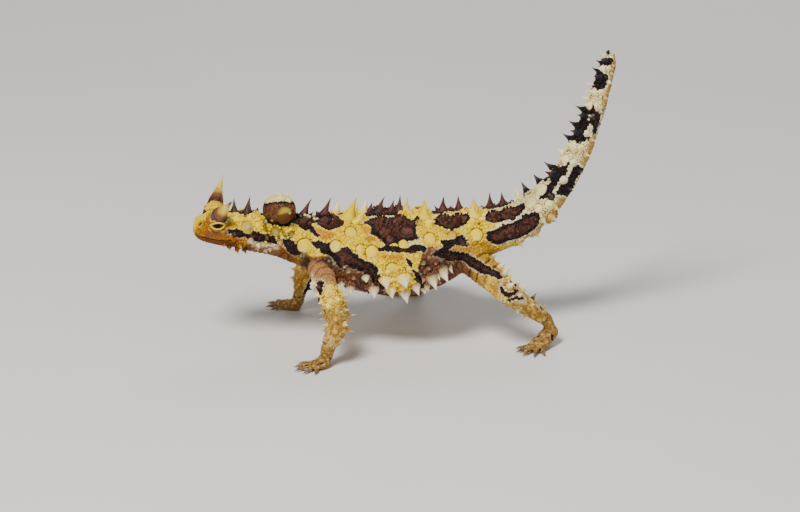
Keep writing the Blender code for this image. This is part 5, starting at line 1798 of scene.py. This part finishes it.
def build_knob_scales(thorn_base, thorn_way, thorn_radius, scale_finish):
    """Scales in a spiral over the knob, clear of its thorns."""
    scales = Cones()
    draw = np.random.default_rng(15)
    for k in range(KNOB_SCALES):
        height = 1 - 2 * (k + 0.5) / KNOB_SCALES
        turn, level = k * GOLDEN_ANGLE, math.sqrt(1 - height * height)
        way = np.array([level * math.cos(turn), level * math.sin(turn), height])
        place = KNOB_CENTRE + way * KNOB_SIZES
        away = place - thorn_base
        aside = np.linalg.norm(away - np.sum(away * thorn_way, 1)[:, None] * thorn_way, axis=1)
        on_thorn = (aside < thorn_radius * 0.95).any()
        if height < -0.75 or on_thorn and (np.linalg.norm(away, axis=1) < thorn_radius * 1.6).any():
            continue
        s = 0.42 * draw.uniform(0.85, 1.15)
        scales.add(place, way / KNOB_SIZES, s, s * 0.45, draw.uniform(0, 6), draw.uniform(0, 1))
    base = scales.arrays()[0]
    offset = knob_offset(base)
    lift = cap_lift(offset)
    speck = np.array([draw.uniform(0, 1) for _ in lift])
    ring = np.maximum(0.10 - np.abs(lift - 0.36), -0.42 - offset[:, 2]) * 5
    brown = layered(np.tile((0.07, 0.023, 0.011), (len(base), 1)), ((0.21, 0.080, 0.026), speck))
    pale = layered(np.tile((0.90, 0.68, 0.12), (len(base), 1)), ((0.93, 0.82, 0.38), speck))
    values = {
        "ground": layered(brown, (pale, ramp(lift, 0.40, 0.46))),
        "dark": ring * 3, "core": 0 * lift, "border": 0 * lift,
    }
    coat_pieces(
        "nuchal_scales", scales, scale_finish, SCALE_PROFILE, SCALE_SIDES,
        values=values, places=knob_place(base),
    )


def build_knob(scale_finish):
    """The rounded false head: a cream cap over brown on a black base, thorns and scales."""
    points, faces = ellipsoid(KNOB_CENTRE, KNOB_SIZES, 40, 26)
    swell = 0.18 * rumple(points, 3.0, 21) + 0.08 * rumple(points, 1.1, 22)
    points = points + unit(points - KNOB_CENTRE) * swell[:, None]
    mesh = mesh_from("nuchal_knob_cap", points, faces=faces)
    offset = knob_offset(points)
    add_attributes(mesh, {
        "lift": cap_lift(offset) + 0.04 * rumple(points, 2.6, 23),
        "low": offset[:, 2] + 0.1 * rumple(points, 2.6, 24),
    })
    place_piece("nuchal_knob_cap", mesh, knob_material(), "skin")
    build_knob_scales(*build_knob_thorns(), scale_finish)


# Along a horn: share of its length, share of its radius.
HORN_PROFILE = (
    (-0.10, 1.12), (0.0, 1.10), (0.06, 1.06), (0.14, 1.0), (0.24, 0.88), (0.34, 0.72), (0.44, 0.60),
    (0.56, 0.46), (0.68, 0.33), (0.80, 0.21), (0.90, 0.12), (0.97, 0.05), (1.0, 0.012),
)
HORN_SIDES = 26


def build_horns():
    finish = horn_material()
    turn = np.arange(HORN_SIDES) * FULL_TURN / HORN_SIDES
    for side, word in SIDES:
        mirror = np.array([1, side, 1])
        axis, base = HORN_AXIS * mirror, HORN_BASE * mirror
        first, second = cross_axes(axis)
        rings = []
        for t, r in HORN_PROFILE:
            bend = np.array([0.12, 0, 0.10]) * HORN_LENGTH * t * max(t, 0) * 0.5
            flute = HORN_RADIUS * r * (1 + 0.05 * np.cos(5 * turn) * (1 - max(t, 0)))
            centre = base + axis * HORN_LENGTH * t + bend
            rings.append(ring_of(centre, first[0], second[0], flute, flute, HORN_SIDES))
        points, faces = tube(rings)
        mesh = mesh_from(f"horn_{word}_keratin", points, faces=faces)
        rise = np.repeat([t for t, _ in HORN_PROFILE], HORN_SIDES)
        # The left horn's tip is dark brown, painted shade; the right horn's tip stays pale.
        add_attributes(mesh, {"rise": rise, "tip_shade": np.full(len(rise), float(side == NEAR))})
        place_piece(f"horn_{word}_keratin", mesh, finish, "horn", f"horn_{word}")


# How far each row of a lid lies from its rim towards its root, and its rise over the eyeball.
LID_ROWS = {
    1: (
        (0.10, 0.05), (0.0, 0.12), (-0.01, 0.34), (0.03, 0.52), (0.10, 0.58), (0.18, 0.46), (0.24, 0.30),
        (0.32, 0.40), (0.45, 0.50), (0.7, 0.34), (1.0, 0.05),
    ),
    -1: (
        (0.10, 0.05), (0.0, 0.12), (-0.01, 0.28), (0.03, 0.42), (0.10, 0.46), (0.18, 0.36), (0.24, 0.22),
        (0.32, 0.30), (0.45, 0.34), (0.7, 0.20), (1.0, 0.0),
    ),
}


LID_THICKNESS = 0.12
# How far the upper and the lower lid stand open, and half the opening's width, in degrees.
LID_OPENINGS, HALF_OPENING = {1: 27, -1: 18}, 66


def build_eyes():
    finish = eye_material()
    lid_finish = lid_material()
    for side, word in SIDES:
        mirror = np.array([1, side, 1])
        centre = EYE_CENTRE * mirror
        points, faces = ellipsoid(centre, (EYE_RADIUS,) * 3, 36, 26)
        mesh = mesh_from(f"eyeball_{word}", points, faces=faces)
        way = unit(points - centre)
        gaze = unit(np.array([-0.12, side, 0.04]))
        add_attributes(mesh, {"off_axis": np.degrees(np.arccos(np.clip(way @ gaze, -1, 1)))})
        place_piece(f"eyeball_{word}", mesh, finish, "eye", f"eye_{word}")
        for lid, sign in (("upper", 1), ("lower", -1)):
            across = np.radians(np.linspace(-84, 84, 33))
            arch = np.maximum(1 - (across / math.radians(HALF_OPENING)) ** 2, -0.25)
            slit = np.radians(LID_OPENINGS[sign]) * arch
            rows = []
            # From the lid's inner edge, round its thick rim, and back over the eyeball.
            for share, lift in LID_ROWS[sign]:
                tilt = slit + (math.radians(80) - slit) * share
                radius = EYE_RADIUS + lift
                rows.append(np.stack([
                    np.sin(across) * np.cos(tilt) * radius,
                    side * np.cos(across) * np.cos(tilt) * radius,
                    sign * np.sin(tilt) * radius,
                ], 1) + centre)
            grid = np.array(rows)
            count, wide = grid.shape[:2]
            faces = [
                (r * wide + k, r * wide + k + 1, (r + 1) * wide + k + 1, (r + 1) * wide + k)
                for r in range(count - 1) for k in range(wide - 1)
            ]
            mesh = mesh_from(f"{lid}_lid_{word}", grid.reshape(-1, 3), faces=faces)
            add_attributes(mesh, {"share": np.repeat([share for share, _ in LID_ROWS[sign]], wide)})
            lid_piece = place_piece(f"{lid}_lid_{word}", mesh, lid_finish, "skin")
            thick = lid_piece.modifiers.new("Thickness", "SOLIDIFY")
            thick.thickness = LID_THICKNESS * METRES
            thick.offset = 0


def build_claws():
    finish = plain_material("claw_keratin", (0.10, 0.045, 0.02), (0.30, 0.16, 0.07), 800.0, 0.35)
    shells = []
    for limb in LIMBS.values():
        for points in digit_lines(limb):
            tip = points[-1][0]
            way = unit((tip - points[-3][0]) * (1, 1, 0))
            rings = []
            for share, thick, drop in CLAW_RINGS:
                centre = tip + way * CLAW_LENGTH * share + np.array([0, 0, 0.12 - drop])
                run = unit(way - np.array([0, 0, 0.1 + share * 0.5]))
                a, b = cross_axes(run)
                rings.append(ring_of(centre, a[0], b[0], thick * 0.8, thick, 12))
            rings[-1][:, 2] = np.maximum(rings[-1][:, 2], 0.03)
            shells.append(tube(rings))
    points, faces = joined(shells)
    points[:, 2] = np.maximum(points[:, 2], 0.02)
    place_piece("claws", mesh_from("claws", points, faces=faces), finish, "limb_skin")


# The studio

VIEW_AZIMUTH, VIEW_ELEVATION = math.radians(-8), math.radians(19)
VIEW_TARGET = Vector((-0.50, 4.28, 23.07)) * METRES
VIEW_DISTANCE = 1.4186


def build_studio():
    back = Vector((
        math.sin(VIEW_AZIMUTH) * math.cos(VIEW_ELEVATION),
        -math.cos(VIEW_AZIMUTH) * math.cos(VIEW_ELEVATION),
        math.sin(VIEW_ELEVATION),
    ))
    lens = bpy.data.cameras.new("view")
    lens.lens, lens.sensor_width, lens.clip_start = 200, 36, 0.01
    camera = bpy.data.objects.new("view", lens)
    bpy.context.scene.collection.objects.link(camera)
    camera.location = VIEW_TARGET + back * VIEW_DISTANCE
    camera.rotation_euler = (-back).to_track_quat("-Z", "Y").to_euler()
    bpy.context.scene.camera = camera

    mesh = bpy.data.meshes.new("floor")
    half = 4.0
    mesh.from_pydata(
        [(-half, -half, 0), (half, -half, 0), (half, half, 0), (-half, half, 0)], [], [(0, 1, 2, 3)],
    )
    floor = bpy.data.objects.new("floor", mesh)
    bpy.context.scene.collection.objects.link(floor)
    tones = (0.80, 0.79, 0.77), (0.82, 0.81, 0.79)
    mesh.materials.append(plain_material("pale_floor", *tones, 6.0, 0.8, 0.2, depth=0.00002))

    for name, place, size, power, tint in (
        ("key", (-0.35, -0.50, 0.85), 0.30, 12.5, (1.0, 0.97, 0.92)),
        ("fill", (0.75, -0.65, 0.45), 0.8, 1.8, (0.95, 0.97, 1.0)),
        ("front", (-0.15, -0.95, 0.16), 0.8, 2.0, (1.0, 0.97, 0.94)),
        ("rim", (0.3, 0.8, 0.7), 0.6, 3.0, (1.0, 0.98, 0.95)),
    ):
        lamp = bpy.data.lights.new(name, "AREA")
        lamp.size, lamp.energy, lamp.color = size, power, tint
        holder = bpy.data.objects.new(name, lamp)
        bpy.context.scene.collection.objects.link(holder)
        holder.location = place
        holder.rotation_euler = (Vector((0, 0, 0.03)) - Vector(place)).to_track_quat("-Z", "Y").to_euler()
    world = bpy.data.worlds.new("studio")
    bpy.context.scene.world = world
    world.use_nodes = True
    sky = world.node_tree.nodes["Background"].inputs
    sky["Color"].default_value = (0.93, 0.95, 1.0, 1)
    sky["Strength"].default_value = 0.20


build_studio()
skin_of_coat = build_skin()
finish_of_scales = scale_material()
build_coat(*skin_of_coat, finish_of_scales)
build_knob(finish_of_scales)
build_horns()
build_eyes()
build_claws()
